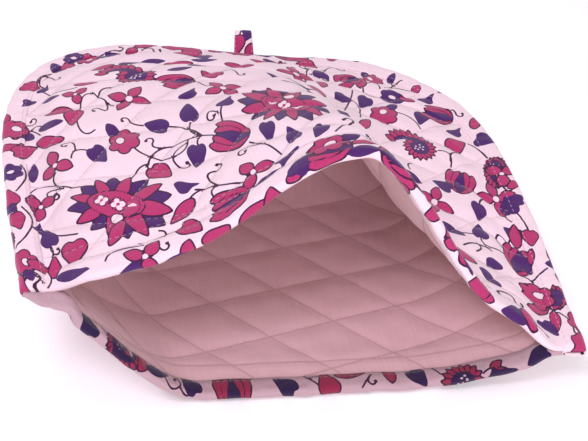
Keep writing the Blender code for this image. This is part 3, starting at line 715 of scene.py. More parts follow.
# stalks as arcs through three points; those with a 1 at the end finish in a curl
STALKS = (
    (-97, 50, -92, 59, -84, 62), (-84, 62, -73, 71, -53, 68), (-53, 68, -49, 65, -46, 62),
    (-88, 78, -83, 68, -75, 62), (-75, 62, -66, 61, -61, 68), (-83, 57, -85, 60, -84, 62),
    (-55, 86, -57, 76, -53, 68), (-67, 88, -59, 82, -53, 68), (-79, 94, -83, 98, -84, 104, 1),
    (-57, 62, -56, 66, -53, 68), (-61, 68, -71, 61, -69, 51, 1), (-73, 71, -78, 73, -77, 77, 1),
    (-40, 70, -39, 81, -35, 91), (-39, 83, -43, 88, -46, 84, 1), (-34, 45, -29, 36, -24, 23),
    (-29, 36, -38, 42, -42, 39, 1), (-130, 76, -131, 67, -116, 58), (-129, 65, -139, 71, -147, 68),
    (-129, 63, -137, 64, -135, 58, 1), (-111, 85, -117, 87, -120, 83),
    (-117, 87, -117, 95, -121, 98, 1), (-142, 122, -138, 122, -133, 115),
    (-140, 122, -135, 125, -131, 123), (-142, 36, -137, 32, -128, 27),
    (-137, 31, -142, 27, -141, 21, 1), (-67, 31, -57, 26, -45, 18), (-57, 26, -60, 37, -54, 38, 1),
    (-45, 18, -42, 17, -40, 19), (-65, 30, -71, 28, -74, 24), (-57, 26, -61, 23, -58, 14),
    (-101, 11, -89, 9, -76, 11), (-89, 9, -88, 13, -90, 15), (-111, 114, -110, 102, -104, 101),
    (-97, 142, -92, 131, -89, 122), (-92, 130, -93, 118, -97, 122, 1),
    (-127, 164, -118, 155, -106, 153), (-94, 141, -89, 147, -80, 147), (88, 163, 96, 162, 103, 153),
    (82, 183, 74, 180, 72, 190), (64, 181, 60, 163, 52, 139), (60, 163, 66, 159, 63, 141),
    (70, 190, 82, 206, 83, 194), (111, 130, 117, 129, 117, 120), (122, 134, 118, 129, 117, 123),
    (91, 110, 88, 106, 88, 102), (126, 105, 129, 101, 136, 105), (136, 105, 129, 96, 126, 87),
    (120, 61, 122, 53, 135, 57), (108, 57, 116, 60, 121, 59), (141, 76, 138, 69, 138, 63),
    (138, 69, 133, 72, 130, 63, 1), (107, 45, 116, 51, 123, 50), (116, 51, 117, 48, 114, 44),
    (87, 168, 86, 170, 85, 167), (33, 170, 39, 204, 46, 210), (46, 210, 50, 216, 47, 195, 1),
    # along the edges
    (-107, 130, -103, 140, -98, 141), (-38, 150, -36, 130, -33, 126),
    (-21, 156, -14, 160, -12, 149, 1), (-130, 176, -126, 184, -120, 188),
    (-126, 184, -121, 184, -118, 178, 1), (-126, 184, -128, 176, -125, 170),
    (-92, 212, -86, 220, -80, 222, 1), (-66, 226, -62, 229, -59, 226, 1),
    (-50, 226, -47, 222, -44, 224), (-152, 128, -148, 124, -150, 119, 1),
    (-141, 131, -137, 129, -134, 131, 1), (-149, 91, -148, 81, -154, 70),
    (-156, 53, -156, 57, -156, 60), (-153, 55, -150, 42, -160, 27), (-151, 12, -145, 4, -147, -3),
    (-154, 8, -151, 4, -155, 0), (-158, 3, -155, 6, -150, 2), (-144, 30, -141, 24, -142, 19),
    (3, 22, 8, 28, 13, 34, 1), (5, 14, 10, 18, 15, 17, 1), (41, 203, 36, 207, 33, 203, 1),
    (50, 218, 54, 223, 60, 219, 1), (119, 176, 126, 184, 129, 179, 1),
    (133, 150, 138, 146, 142, 138), (141, 120, 145, 116, 148, 110), (146, 99, 150, 92, 152, 82),
    (146, 99, 142, 93, 144, 89), (139, 49, 144, 45, 147, 38), (144, 45, 150, 50, 155, 54),
    (141, 36, 144, 42, 139, 41, 1), (152, 22, 156, 17, 156, 9, 1), (122, 8, 130, 5, 140, 1),
    (105, 8, 110, 12, 113, 10, 1), (76, 6, 86, 10, 96, 12), (118, 14, 124, 16, 126, 13, 1),
    (-118, 4, -112, 8, -100, 7), (-99, 2, -95, 6, -92, 1, 1), (20, 206, 24, 210, 29, 208, 1),
    (88, 200, 96, 204, 104, 204), (95, 207, 94, 210, 94, 213),
    # behind the ridge and above the shoulders
    (20, 124, 26, 134, 33, 140), (26, 134, 18, 140, 14, 146), (36, 106, 38, 98, 36, 92),
    (38, 98, 48, 100, 54, 104), (52, 122, 56, 116, 58, 112), (60, 92, 56, 100, 52, 101),
    (66, 70, 58, 72, 52, 66, 1), (72, 60, 76, 54, 82, 50), (-32, 214, -26, 208, -16, 210),
    (-26, 208, -26, 204, -28, 200), (2, 212, 8, 214, 12, 214), (26, 218, 32, 222, 34, 222),
    (40, 196, 34, 194, 30, 198, 1), (100, 214, 96, 210, 92, 202), (116, 212, 122, 210, 124, 210),
    (136, 208, 142, 206, 146, 206), (-146, 206, -142, 198, -140, 190),
)


def mirrored(upper: tuple) -> Array:
    """A whole outline from its upper half."""
    lower = [(x, -y) for x, y in reversed(upper) if y != 0]
    return np.array([*upper, *lower], float)


def rounded(corners: Array | tuple, steps: int = 5) -> Array:
    """A smooth closed outline through the given corners.

    Args:
        corners: points around the shape.
        steps: pieces between two corners.
    Returns:
        Many points around the shape.
    """
    p = np.asarray(corners, float)
    a, b, c, d = np.roll(p, 1, 0), p, np.roll(p, -1, 0), np.roll(p, -2, 0)
    t = np.linspace(0, 1, steps, endpoint=False)[:, None, None]
    line = 0.5 * (2 * b + (c - a) * t + (2 * a - 5 * b + 4 * c - d) * t ** 2
                  + (3 * b - a - 3 * c + d) * t ** 3)
    return line.transpose(1, 0, 2).reshape(-1, 2)


def pointed(upper: tuple, steps: int = 5) -> Array:
    """A leaf's outline from its upper half, smooth but with a sharp tip.

    Args:
        upper: points from the tip to the stalk.
        steps: pieces between two of them.
    Returns:
        Many points around the leaf.
    """
    whole = mirrored(upper)
    smooth = rounded(whole, steps)
    smooth[0] = whole[0] * 1.04
    return smooth


def round_shape(centre: Pair | Array, radius: float, steps: int = 14) -> Array:
    """Points around a circle."""
    t = np.linspace(0, 2 * math.pi, steps, endpoint=False)
    return np.array(centre) + radius * np.stack([np.cos(t), np.sin(t)], axis=1)


def lobed(radius: float, lobes: int, depth: float) -> Array:
    """Points around a shape with round lobes.

    Args:
        radius: of the lobes' tips.
        lobes: how many.
        depth: share of the radius between two lobes.
    Returns:
        Points around the shape.
    """
    t = np.linspace(0, 2 * math.pi, lobes * 8, endpoint=False)
    r = radius * (1 - depth + depth * np.abs(np.sin(t * lobes / 2)) ** 0.7)
    return np.stack([r * np.cos(t), r * np.sin(t)], axis=1)


def turned(shape: Array, degrees: float, move: Pair | Array = (0, 0)) -> Array:
    """A shape turned about its middle and then moved.

    Args:
        shape: its points.
        degrees: how far it is turned, anticlockwise.
        move: how far it is moved after that.
    Returns:
        The turned points.
    """
    c, s = heading(degrees)
    return shape @ np.array([[c, s], [-s, c]]) + np.array(move)


def arc(points: tuple) -> Array:
    """A curved line through three points.

    Args:
        points: where it starts, passes and ends, as six numbers.
    Returns:
        Points along it.
    """
    a, m, b = (np.array(points[i:i + 2], float) for i in (0, 2, 4))
    bend = 2 * m - (a + b) / 2
    t = np.linspace(0, 1, 10)[:, None]
    return a * (1 - t) ** 2 + bend * 2 * t * (1 - t) + b * t ** 2


def from_shape(p: Array, shape: Array) -> Array:
    """Signed distance from points to a closed shape, negative inside.

    Args:
        p: the points.
        shape: the shape's outline.
    Returns:
        One distance for each point.
    """
    a, b = shape, np.roll(shape, -1, axis=0)
    e = b - a
    w = p[:, None, :] - a[None]
    t = np.clip(np.sum(w * e, axis=2) / np.maximum(np.sum(e * e, axis=1), 1e-12), 0, 1)
    gap = np.sqrt(np.min(np.sum((w - t[..., None] * e) ** 2, axis=2), axis=1))
    crosses = (a[None, :, 1] <= p[:, None, 1]) != (b[None, :, 1] <= p[:, None, 1])
    rise = np.where(np.abs(e[:, 1]) < 1e-12, 1e-12, e[:, 1])
    right = a[None, :, 0] + e[:, 0] * (p[:, None, 1] - a[None, :, 1]) / rise > p[:, None, 0]
    return np.where(np.sum(crosses & right, axis=1) % 2 == 1, -gap, gap)


def from_line(p: Array, line: Array) -> tuple[Array, Array]:
    """Distances from points to a line.

    Args:
        p: the points.
        line: the line's points.
    Returns:
        Distances, and signed distances across it, positive on its left.
    """
    a, e = line[:-1], np.diff(line, axis=0)
    w = p[:, None, :] - a[None]
    t = np.clip(np.sum(w * e, axis=2) / np.maximum(np.sum(e * e, axis=1), 1e-12), 0, 1)
    gap = np.sum((w - t[..., None] * e) ** 2, axis=2)
    k, row = np.argmin(gap, axis=1), np.arange(len(p))
    left = e[k, 0] * w[row, k, 1] - e[k, 1] * w[row, k, 0]
    return np.sqrt(gap[row, k]), left / np.maximum(np.hypot(e[k, 0], e[k, 1]), 1e-9)


@dataclass
class FloralPrint:
    """The repeat of the printed cloth, drawn as distances to the edge of each ink."""
    across: float = 320.0  # repeat, mm
    along: float = 240.0
    outline: float = 0.85  # width of the dark line around a pink shape
    stalk: float = 1.0  # width of a stalk
    drawn_to: float = 1.1  # how far from a stalk its signed distance counts
    reach: float = 3.0  # distances are kept up to this
    nothing: float = 9.0  # the distance where nothing is drawn
    margin: float = 1.6  # how much further to look, for flowers drawn longer
    curl: float = 2.4  # radius of a stalk's curl
    curled: float = 205.0  # degrees that it turns through
    closing: float = 0.35  # share of its radius lost on the way
    dot: float = 1.05  # radius of the dot at its end
    motifs: tuple = MOTIFS
    stalks: tuple = STALKS
    # where flowers are drawn longer: u from, to, v from, to, how much, which way (degrees), size
    longer: tuple = ()

    def __post_init__(self) -> None:
        """Draw each kind of motif once, as its list of shapes."""
        self.kinds = {kind: self.draw(kind) for kind in Motif}

    def sun(self, size: float) -> list:
        """A round flower with rays, a tail of rays and a dotted middle.

        Args:
            size: its size, where 1 is a middle of 11.2 mm across.
        Returns:
            Its shapes: outline, ink and width of the dark line around it.
        """
        far, half = 4.6 * size, 1.5 * size
        ray = np.array([(far, 0), (far * 0.45, half), (0, half * 0.84), (0, -half * 0.84),
                        (far * 0.45, -half)])
        shapes = [(turned(ray, turn, 5.6 * size * heading(turn)), Ink.PINK, self.outline)
                  for turn in 360 * np.arange(17) / 17]
        petal = pointed(((3.4, 0), (0.8, 1.5), (-2.2, 1.2), (-3.0, 0)), 3) * size
        for x, y, turn in ((1, -8.8, -84), (5, -10.4, -72), (9, -10.8, -58), (12.8, -9.8, -44),
                           (15.8, -7.4, -28), (17.6, -4.2, -8), (18.4, -0.6, 10)):
            shapes.append((turned(petal, turn, (x * size, y * size)), Ink.PINK, self.outline))
        tail = rounded(((-3, -6.5), (4, -8.0), (10, -8.2), (14.5, -5.8), (16.5, -1.0),
                        (13.0, -3.6), (9.0, -5.2), (3, -4.5))) * size
        shapes.append((tail, Ink.PURPLE, 0.3))
        shapes.append((round_shape((0, 0), 5.6 * size, 20), Ink.PURPLE, 0.3))
        for x, y in ((0, 0), (2.4, 0.4), (-2.2, 0.8), (0.4, 2.4), (0.6, -2.4), (-1.8, -1.8),
                     (2.4, 2.6)):
            shapes.append((round_shape((x * size, y * size), 0.75 * size, 8), Ink.BARE, 0.0))
        return shapes

    def lotus(self) -> list:
        """The large flower: broad petals in both inks around a paisley with white blossoms.

        Returns:
            Its shapes: outline, ink and width of the dark line around it.
        """
        shapes = []
        petal = pointed(((9.4, 0), (2.8, 2.9), (-3.5, 2.8), (-6.0, 0)), 3)
        rim = ((0, 19.5, 1.3), (20, 19, 1.25), (40, 17.5, 1.15), (62, 15.5, 1.05), (86, 13.5, 1.0),
               (110, 13.5, 0.95), (134, 15.5, 0.9), (156, 17.5, 0.9), (178, 18.5, 0.9),
               (200, 18, 0.9), (224, 16, 0.95), (250, 14, 0.95), (276, 13, 1.05), (300, 15, 1.15),
               (321, 17.5, 1.25), (341, 19.5, 1.3))
        for first in (1, 0):
            for k, (turn, far, size) in enumerate(rim):
                if k % 2 == first:
                    at = far * np.array([0.86, 0.72]) * heading(turn)
                    ink = Ink.PURPLE if k % 2 else Ink.PINK
                    broad = np.array([1.0, 1.35 if k % 2 else 1.0])
                    shapes.append((turned(petal * size * broad, turn, at), ink, self.outline))
        oval = round_shape((0, 0), 1.0, 26) * np.array([15.0, 7.8])
        shapes.append((oval, Ink.PINK, self.outline))
        for ring, ink in ((5.6, Ink.LINE), (5.0, Ink.PINK)):
            shapes.append((round_shape((7.6, -0.6), ring, 20), ink, 0.0))
        shapes.append((rounded(((11.0, 0.6), (7.8, 2.6), (4.6, 0.6), (7.4, 0.2))), Ink.BARE, 0.0))
        for x, y in ((-8.0, 0.6), (0.6, 0.4)):
            shapes.append((round_shape((x, y), 4.3, 16), Ink.LINE, 0.0))
            shapes.append((round_shape((x, y), 3.6, 16), Ink.PINK, 0.0))
            for k in range(4):
                petal = round_shape((x, y) + 2.2 * heading(90 * k + 30), 1.5, 8)
                shapes.append((petal, Ink.BARE, 0.0))
        # a bare hook curls in from below, with a pink leaf beside it
        for ring, ink in ((3.6, Ink.LINE), (3.0, Ink.BARE)):
            shapes.append((round_shape((2.6, -8.4), ring, 16), ink, 0.0))
        shapes.append((turned(pointed(SLIM_LEAF), -96, (5.4, -17.0)), Ink.PINK, self.outline))
        return shapes

    def draw(self, kind: Motif) -> list:
        """Shapes of one motif, lowest first.

        Args:
            kind: which motif.
        Returns:
            Its shapes: outline, ink and width of the dark line around it.
        """
        line = self.outline
        leaves = {
            HEART_PINK: (pointed(ROUND_LEAF), Ink.PINK),
            HEART_PURPLE: (pointed(ROUND_LEAF), Ink.PURPLE),
            LEAF_PINK: (pointed(SLIM_LEAF), Ink.PINK),
            LEAF_PURPLE: (pointed(SLIM_LEAF), Ink.PURPLE),
            FOLDED: (rounded(FOLDED_LEAF), Ink.PURPLE),
            TRUMPET: (rounded(TRUMPET_LEAF), Ink.PURPLE),
            BUD: (pointed(BUD_PETAL), Ink.PINK)}
        if kind in leaves:
            shape, ink = leaves[kind]
            return [(shape, ink, line if ink is Ink.PINK else 0.0)]
        if kind is CROSS:
            petals = [(turned(pointed(CROSS_PETAL), t), Ink.PINK, line) for t in (0, 82, 180, 262)]
            return petals + [(round_shape((0, 0), 2.1), Ink.BARE, 0.3)]
        if kind is TREFOIL:
            petals = [(turned(pointed(TREFOIL_PETAL), t), Ink.PINK, line) for t in (0, 115, 235)]
            return petals + [(round_shape((0, 0), 1.4), Ink.BARE, 0.3)]
        if kind is ROSE:
            bud = turned(pointed(BUD_PETAL) * 1.1, 0, (10.5, 1.0))
            middle = round_shape((0.5, 0.8), 1.0, 14) * np.array([3.0, 2.2])
            return [(bud, Ink.PURPLE, 0.2), (lobed(9.0, 6, 0.30), Ink.PINK, line),
                    (middle, Ink.BARE, 0.6)]
        if kind is VIOLET:
            middle = round_shape((0, 0), 1.0, 14) * np.array([2.6, 1.5])
            return [(lobed(8.6, 6, 0.22), Ink.PURPLE, 0.0), (middle, Ink.BARE, 0.0)]
        if kind is TULIP:
            shapes = []
            for flip in (1, -1):
                for petal in (TULIP_OUTER, TULIP_INNER):
                    shapes.append((rounded(petal) * np.array([1, flip]), Ink.PINK, line))
            return shapes + [(pointed(TULIP_CUP), Ink.PURPLE, 0.35)]
        if kind is SUN:
            return self.sun(1.12)
        if kind is SUN_SMALL:
            return self.sun(0.72)
        return self.lotus()

    def paint(self, inks: Array, at: Array, shape_gap: Array, ink: Ink, line: float) -> None:
        """Lay one shape over what is already drawn.

        Args:
            inks: distances to the edge of each ink, changed in place.
            at: which points the shape may reach.
            shape_gap: signed distance from those points to the shape.
            ink: what fills the shape.
            line: width of the dark line around it.
        """
        around = shape_gap - line
        part = inks[at]
        for k in (Ink.PINK, Ink.PURPLE):
            part[:, k] = np.maximum(part[:, k], -around)
        if ink is Ink.BARE:
            around = around if line else self.nothing
            part[:, Ink.LINE] = np.maximum(np.minimum(part[:, Ink.LINE], around), -shape_gap)
            part[:, STALK] = np.maximum(part[:, STALK], self.drawn_to - shape_gap)
        else:
            part[:, Ink.LINE] = np.minimum(part[:, Ink.LINE], around)
            if ink is not Ink.LINE:
                part[:, ink] = np.minimum(part[:, ink], shape_gap)
        inks[at] = part

    def nearby(self, flat: Array, centre: Pair, far: float) -> tuple[Array, Array]:
        """Points of the cloth that lie near one place of the repeat.

        Args:
            flat: points on the uncut cloth, in millimetres.
            centre: the place.
            far: how far from it.
        Returns:
            Which points, and their offsets from the place.
        """
        size = np.array([self.across, self.along])
        offset = flat - np.array(centre)
        offset -= np.round(offset / size) * size
        at = np.flatnonzero(np.max(np.abs(offset), axis=1) < far)
        return at, offset[at]

    def drawn(self, offset: Array, u: float, v: float) -> Array:
        """Offsets from a flower's middle as they are on its drawing.

        Args:
            offset: offsets on the cloth.
            u: where the flower's middle lies.
            v: the same, from the mouth.
        Returns:
            Offsets on the drawing.
        """
        for u0, u1, v0, v1, longer, degrees, size in self.longer:
            if u0 <= u < u1 and v0 <= v < v1:
                way = heading(degrees)
                return (offset + (1 / longer - 1) * (offset @ way)[:, None] * way) / size
        return offset

    def inks(self, flat: Array) -> Array:
        """Distance from points of the uncut cloth to the edge of each ink.

        Args:
            flat: points, in millimetres.
        Returns:
            Columns for pink, purple and dark line, negative inside the ink, then the distance
            to the nearest stalk and the signed distance across it.
        """
        inks = np.full((len(flat), 5), self.nothing)
        for stalk in self.stalks:
            line = arc(stalk)
            curled = len(stalk) > 6
            if curled:
                way = line[-1] - line[-2]
                turn = math.atan2(way[1], way[0])
                t = np.linspace(0, math.radians(self.curled), 8)
                r = self.curl * (1 - self.closing * t / t[-1])
                hub = line[-1] + self.curl * np.array([-math.sin(turn), math.cos(turn)])
                curl = hub + np.stack([r * np.sin(t + turn), -r * np.cos(t + turn)], axis=1)
                line = np.concatenate([line, curl])
            middle = (line.min(axis=0) + line.max(axis=0)) / 2
            far = float(np.max(np.abs(line - middle))) + self.reach
            at, offset = self.nearby(flat, tuple(middle), far)
            if len(at):
                gap, across = from_line(offset, line - middle)
                nearer = gap < inks[at, STALK]
                inks[at[nearer], STALK], inks[at[nearer], ACROSS] = gap[nearer], across[nearer]
                if curled:
                    dot = np.linalg.norm(offset - (line[-1] - middle), axis=1) - self.dot
                    inks[at, Ink.LINE] = np.minimum(inks[at, Ink.LINE], dot)
        for kind, u, v, tip in self.motifs:
            shapes = [(turned(shape, tip), ink, line) for shape, ink, line in self.kinds[kind]]
            far = max(float(np.max(np.abs(s[0]))) for s in shapes) + self.reach
            far *= self.margin
            at, offset = self.nearby(flat, (u, v), far)
            if not len(at):
                continue
            offset = self.drawn(offset, u, v)
            for shape, ink, line in shapes:
                low, high = shape.min(axis=0) - self.reach, shape.max(axis=0) + self.reach
                near = np.flatnonzero(np.all((offset > low) & (offset < high), axis=1))
                if len(near):
                    self.paint(inks, at[near], from_shape(offset[near], shape), ink, line)
        return np.clip(inks, -self.reach, self.reach)


# the lower lip's strip, seen from inside, and the hanging loop
TRIM_MOTIFS = (
    (HEART_PURPLE, -121, 4, 120), (SUN_SMALL, -102, 4, 20), (BUD, -85, 5, 70),
    (LEAF_PURPLE, -75, 6, 15), (HEART_PURPLE, -54, 7, 120), (TULIP, -31, 2, 90),
    (HEART_PURPLE, -3, 5, 140), (HEART_PINK, 20, 5, 100), (LEAF_PINK, 33, 11, 8), (BUD, 54, 9, -90),
    (HEART_PURPLE, 69, 6, -60), (SUN, 92, -1, 20), (LEAF_PURPLE, 114, -1, 8),
    (HEART_PURPLE, 135, 2, 190), (HEART_PINK, -134, -9, 60), (HEART_PINK, -60, -8, 30),
    (ROSE, 8, -12, 0), (HEART_PURPLE, 40, -9, 80), (CROSS, 118, -14, 10), (LEAF_PINK, 12, 45, 5),
    (HEART_PURPLE, 24, 37, 160), (HEART_PINK, 38, 45, 5), (HEART_PURPLE, 29, 36, 20),
    (BUD, 43, 36, 190), (BUD, 7, 35, 10),
)
TRIM_STALKS = (
    (-116, 12, -112, 9, -109, 6), (-72, 8, -66, 1, -60, 5, 1), (-60, 2, -56, 0, -54, 4),
    (-20, 11, -22, 10, -26, 8), (8, 12, 12, 7, 16, 3), (10, 9, 14, 10, 18, 9),
    (38, 2, 44, 9, 42, 6, 1), (78, 12, 81, 6, 86, 3), (104, 2, 110, 4, 116, 2),
    (14, 41, 20, 39, 22, 35), (34, 41, 30, 42, 26, 40),
)

PRINT = FloralPrint(longer=(
    (146, 170, -5, 142, 1.1, 88, 0.72), (-12, 0, 70, 76, 1.5, 80, 0.86),
    (-40, -20, 112, 126, 1.3, 84, 0.85), (-32, 2, 20, 50, 1.7, 85, 0.72),
    (-60, 12, 46, 112, 1.4, 80, 0.92), (-120, -95, 30, 44, 1.1, 84, 0.95),
    (-145, -60, 76, 142, 1.25, 84, 0.95), (60, 146, 19, 142, 1.4, 62, 0.82),
    (60, 146, 142, 200, 1.4, 62, 0.88), (-170, -75, 142, 230, 1.15, 84, 0.8),
    (-170, -145, -5, 142, 1.15, 88, 0.78), (80, 170, 142, 230, 1.0, 0, 0.75)))
BACK_PRINT = FloralPrint(motifs=BACK_MOTIFS)
TRIM = FloralPrint(across=700.0, along=120.0, motifs=TRIM_MOTIFS, stalks=TRIM_STALKS)


# ------------ finishes
def node(tree: Tree, kind: str, *values: Feed, out: int | str = 0,
         named: dict[int | str, Feed] | None = None, **settings: str) -> Socket:
    """Add one shader node with its settings and links.

    Args:
        tree: the material's node tree.
        kind: the node's kind, with its operation after a full stop if it has one.
        values: values or sockets for its first inputs, in their order.
        out: which of its outputs is wanted.
        named: values or sockets for other inputs, by name or number.
        settings: the node's other settings.
    Returns:
        The output that is wanted.
    """
    kind, _, operation = kind.partition(".")
    made = tree.nodes.new("ShaderNode" + kind)
    if operation:
        made.operation = operation
    for key, value in settings.items():
        setattr(made, key, value)
    for key, value in {**dict(enumerate(values)), **(named or {})}.items():
        if isinstance(value, Socket):
            tree.links.new(value, made.inputs[key])
        else:
            made.inputs[key].default_value = value
    return made.outputs[out]


@dataclass(frozen=True)
class Weave:
    """Plain-woven cotton: its threads, their unevenness and the cloth's soft sheen."""
    thread: float = 0.55  # between threads in mm, coarser than real 0.3 mm cotton
    depth: float = 0.035  # height of a thread, mm
    slub: float = 0.16  # strength of the uneven threads
    crease: float = 0.10  # height of fine wrinkles, mm
    between: float = 0.10  # painted shade between its threads: how much darker the cloth is there
    per_wave: float = 0.314  # the wave's scale for one thread in a millimetre
    sheen: float = 0.25
    roughness: float = 0.88

    def surface(self, tree: Tree, flat: Socket, relief: Socket) -> tuple[Socket, Socket]:
        """Build the weave's relief, and its uneven tone with painted shade between the threads.

        Args:
            tree: the material's node tree.
            flat: the cloth's flat coordinates, in millimetres.
            relief: more height in millimetres, such as stitches.
        Returns:
            The normal socket and a tone around 1.
        """
        threads = node(tree, "Math.MULTIPLY", *(node(
            tree, "TexWave", named={"Vector": flat, "Scale": self.per_wave / self.thread,
                                    "Distortion": 0.6, "Detail": 2.0, "Detail Scale": 0.5},
            out="Fac", wave_type="BANDS", bands_direction=axis, wave_profile="SIN")
            for axis in ("X", "Y")))
        slub = node(tree, "Math.ADD", *(node(
            tree, "TexNoise", named={"Vector": node(tree, "VectorMath.MULTIPLY", flat, stretch),
                                     "Scale": 1.0, "Detail": 3.0, "Roughness": 0.6})
            for stretch in ((0.045, 1.4, 1.0), (1.4, 0.045, 1.0))))
        wrinkle = node(tree, "TexNoise", named={
            "Vector": flat, "Scale": 0.16, "Detail": 4.0, "Roughness": 0.55})
        height = node(tree, "Math.MULTIPLY_ADD", threads, self.depth,
                      node(tree, "Math.MULTIPLY", wrinkle, self.crease))
        height = node(tree, "Math.ADD", height, relief)
        bump = node(tree, "Bump", named={"Strength": 1.0, "Distance": MM, "Height": height})
        slub = node(tree, "Math.SUBTRACT", slub, 1.0)
        tone = node(tree, "Math.MULTIPLY_ADD", slub, self.slub, 1.0)
        shade = node(tree, "Math.MULTIPLY_ADD", threads, self.between, 1 - self.between / 2)
        return bump, node(tree, "Math.MULTIPLY", tone, shade)


WEAVE = Weave()


def new_material(name: str, roughness: float, sheen: float) -> tuple:
    """Make a material with its shader's plain values set.

    Args:
        name: what the finish is.
        roughness: of the cloth.
        sheen: of the cloth's fibres.
    Returns:
        The material, its node tree and its shader.
    """
    made = bpy.data.materials.new(name)
    made.use_nodes = True
    tree = made.node_tree
    shader = tree.nodes["Principled BSDF"]
    shader.inputs["Roughness"].default_value = roughness
    shader.inputs["Sheen Weight"].default_value = sheen
    shader.inputs["Sheen Roughness"].default_value = 0.5
    shader.inputs["Specular IOR Level"].default_value = 0.25
    return made, tree, shader


def flat_place(tree: Tree) -> Socket:
    """The cloth's flat coordinates in millimetres, from its own map."""
    return node(tree, "VectorMath.SCALE", node(tree, "UVMap", uv_map="cut"),
                named={"Scale": 1 / MM})


@dataclass(frozen=True)
class Stitching:
    """Rows of running stitches, seen as short pale threads, with a groove mask where the cloth is
    drawn in, for painted shade.
    """
    thread: str = "#EFE3E6"
    width: float = 0.5  # thread as seen, mm
    soft: float = 0.18  # over which its side fades, mm
    stitch: float = 3.4  # stitch and gap, mm
    showing: float = 0.62  # share of it that is stitch
    groove: float = 1.0  # half width of the drawn-in groove, mm
    deepest: float = 0.2  # half width of its bottom, mm

    def along(self, tree: Tree, across: Feed, run: Feed) -> Socket:
        """Share of thread at a place.

        Args:
            tree: the material's node tree.
            across: distance from the row's middle, in mm.
            run: distance along the row, in mm.
        Returns:
            1 on a stitch and 0 elsewhere.
        """
        near = node(tree, "MapRange", node(tree, "Math.ABSOLUTE", across), self.width / 2,
                    self.width / 2 - self.soft, interpolation_type="SMOOTHSTEP")
        step = node(tree, "Math.FRACT", node(tree, "Math.DIVIDE", run, self.stitch))
        step = node(tree, "Math.ABSOLUTE", node(tree, "Math.SUBTRACT", step, 0.5))
        shown = node(tree, "MapRange", step, self.showing / 2, self.showing / 2 - 0.05,
                     interpolation_type="SMOOTHSTEP")
        return node(tree, "Math.MULTIPLY", near, shown)

    def quilting(self, tree: Tree, flat: Socket, side: Side) -> tuple[Socket, Socket]:
        """Stitches along both sets of a panel's quilting lines and along its mouth.

        Args:
            tree: the material's node tree.
            flat: the cloth's flat coordinates, in millimetres.
            side: which panel.
        Returns:
            Share of thread, and share of the groove that it draws into the cloth.
        """
        rows = []
        for steep, start in zip((True, False), QUILTING.start(side)):
            x, y = QUILTING.direction(side, steep)
            across, run = (node(tree, "VectorMath.DOT_PRODUCT", flat, way, out="Value")
                           for way in ((-y, x, 0), (x, y, 0)))
            across = node(tree, "Math.SUBTRACT", across, start)
            share = node(tree, "Math.DIVIDE", across, QUILTING.step)
            share = node(tree, "Math.SUBTRACT", share, node(tree, "Math.ROUND", share))
            rows.append((node(tree, "Math.MULTIPLY", share, QUILTING.step), run))
        run, deep, _ = node(tree, "SeparateXYZ", flat).node.outputs
        rows.append((node(tree, "Math.SUBTRACT", deep, QUILTING.mouth_row), run))
        threads = [self.along(tree, off, run) for off, run in rows]
        grooves = [node(tree, "MapRange", node(tree, "Math.ABSOLUTE", off), self.groove,
                        self.deepest, interpolation_type="SMOOTHSTEP") for off, _ in rows]
        return tuple(node(tree, "Math.MAXIMUM", node(tree, "Math.MAXIMUM", a, b), c)
                     for a, b, c in (threads, grooves))


STITCHING = Stitching()


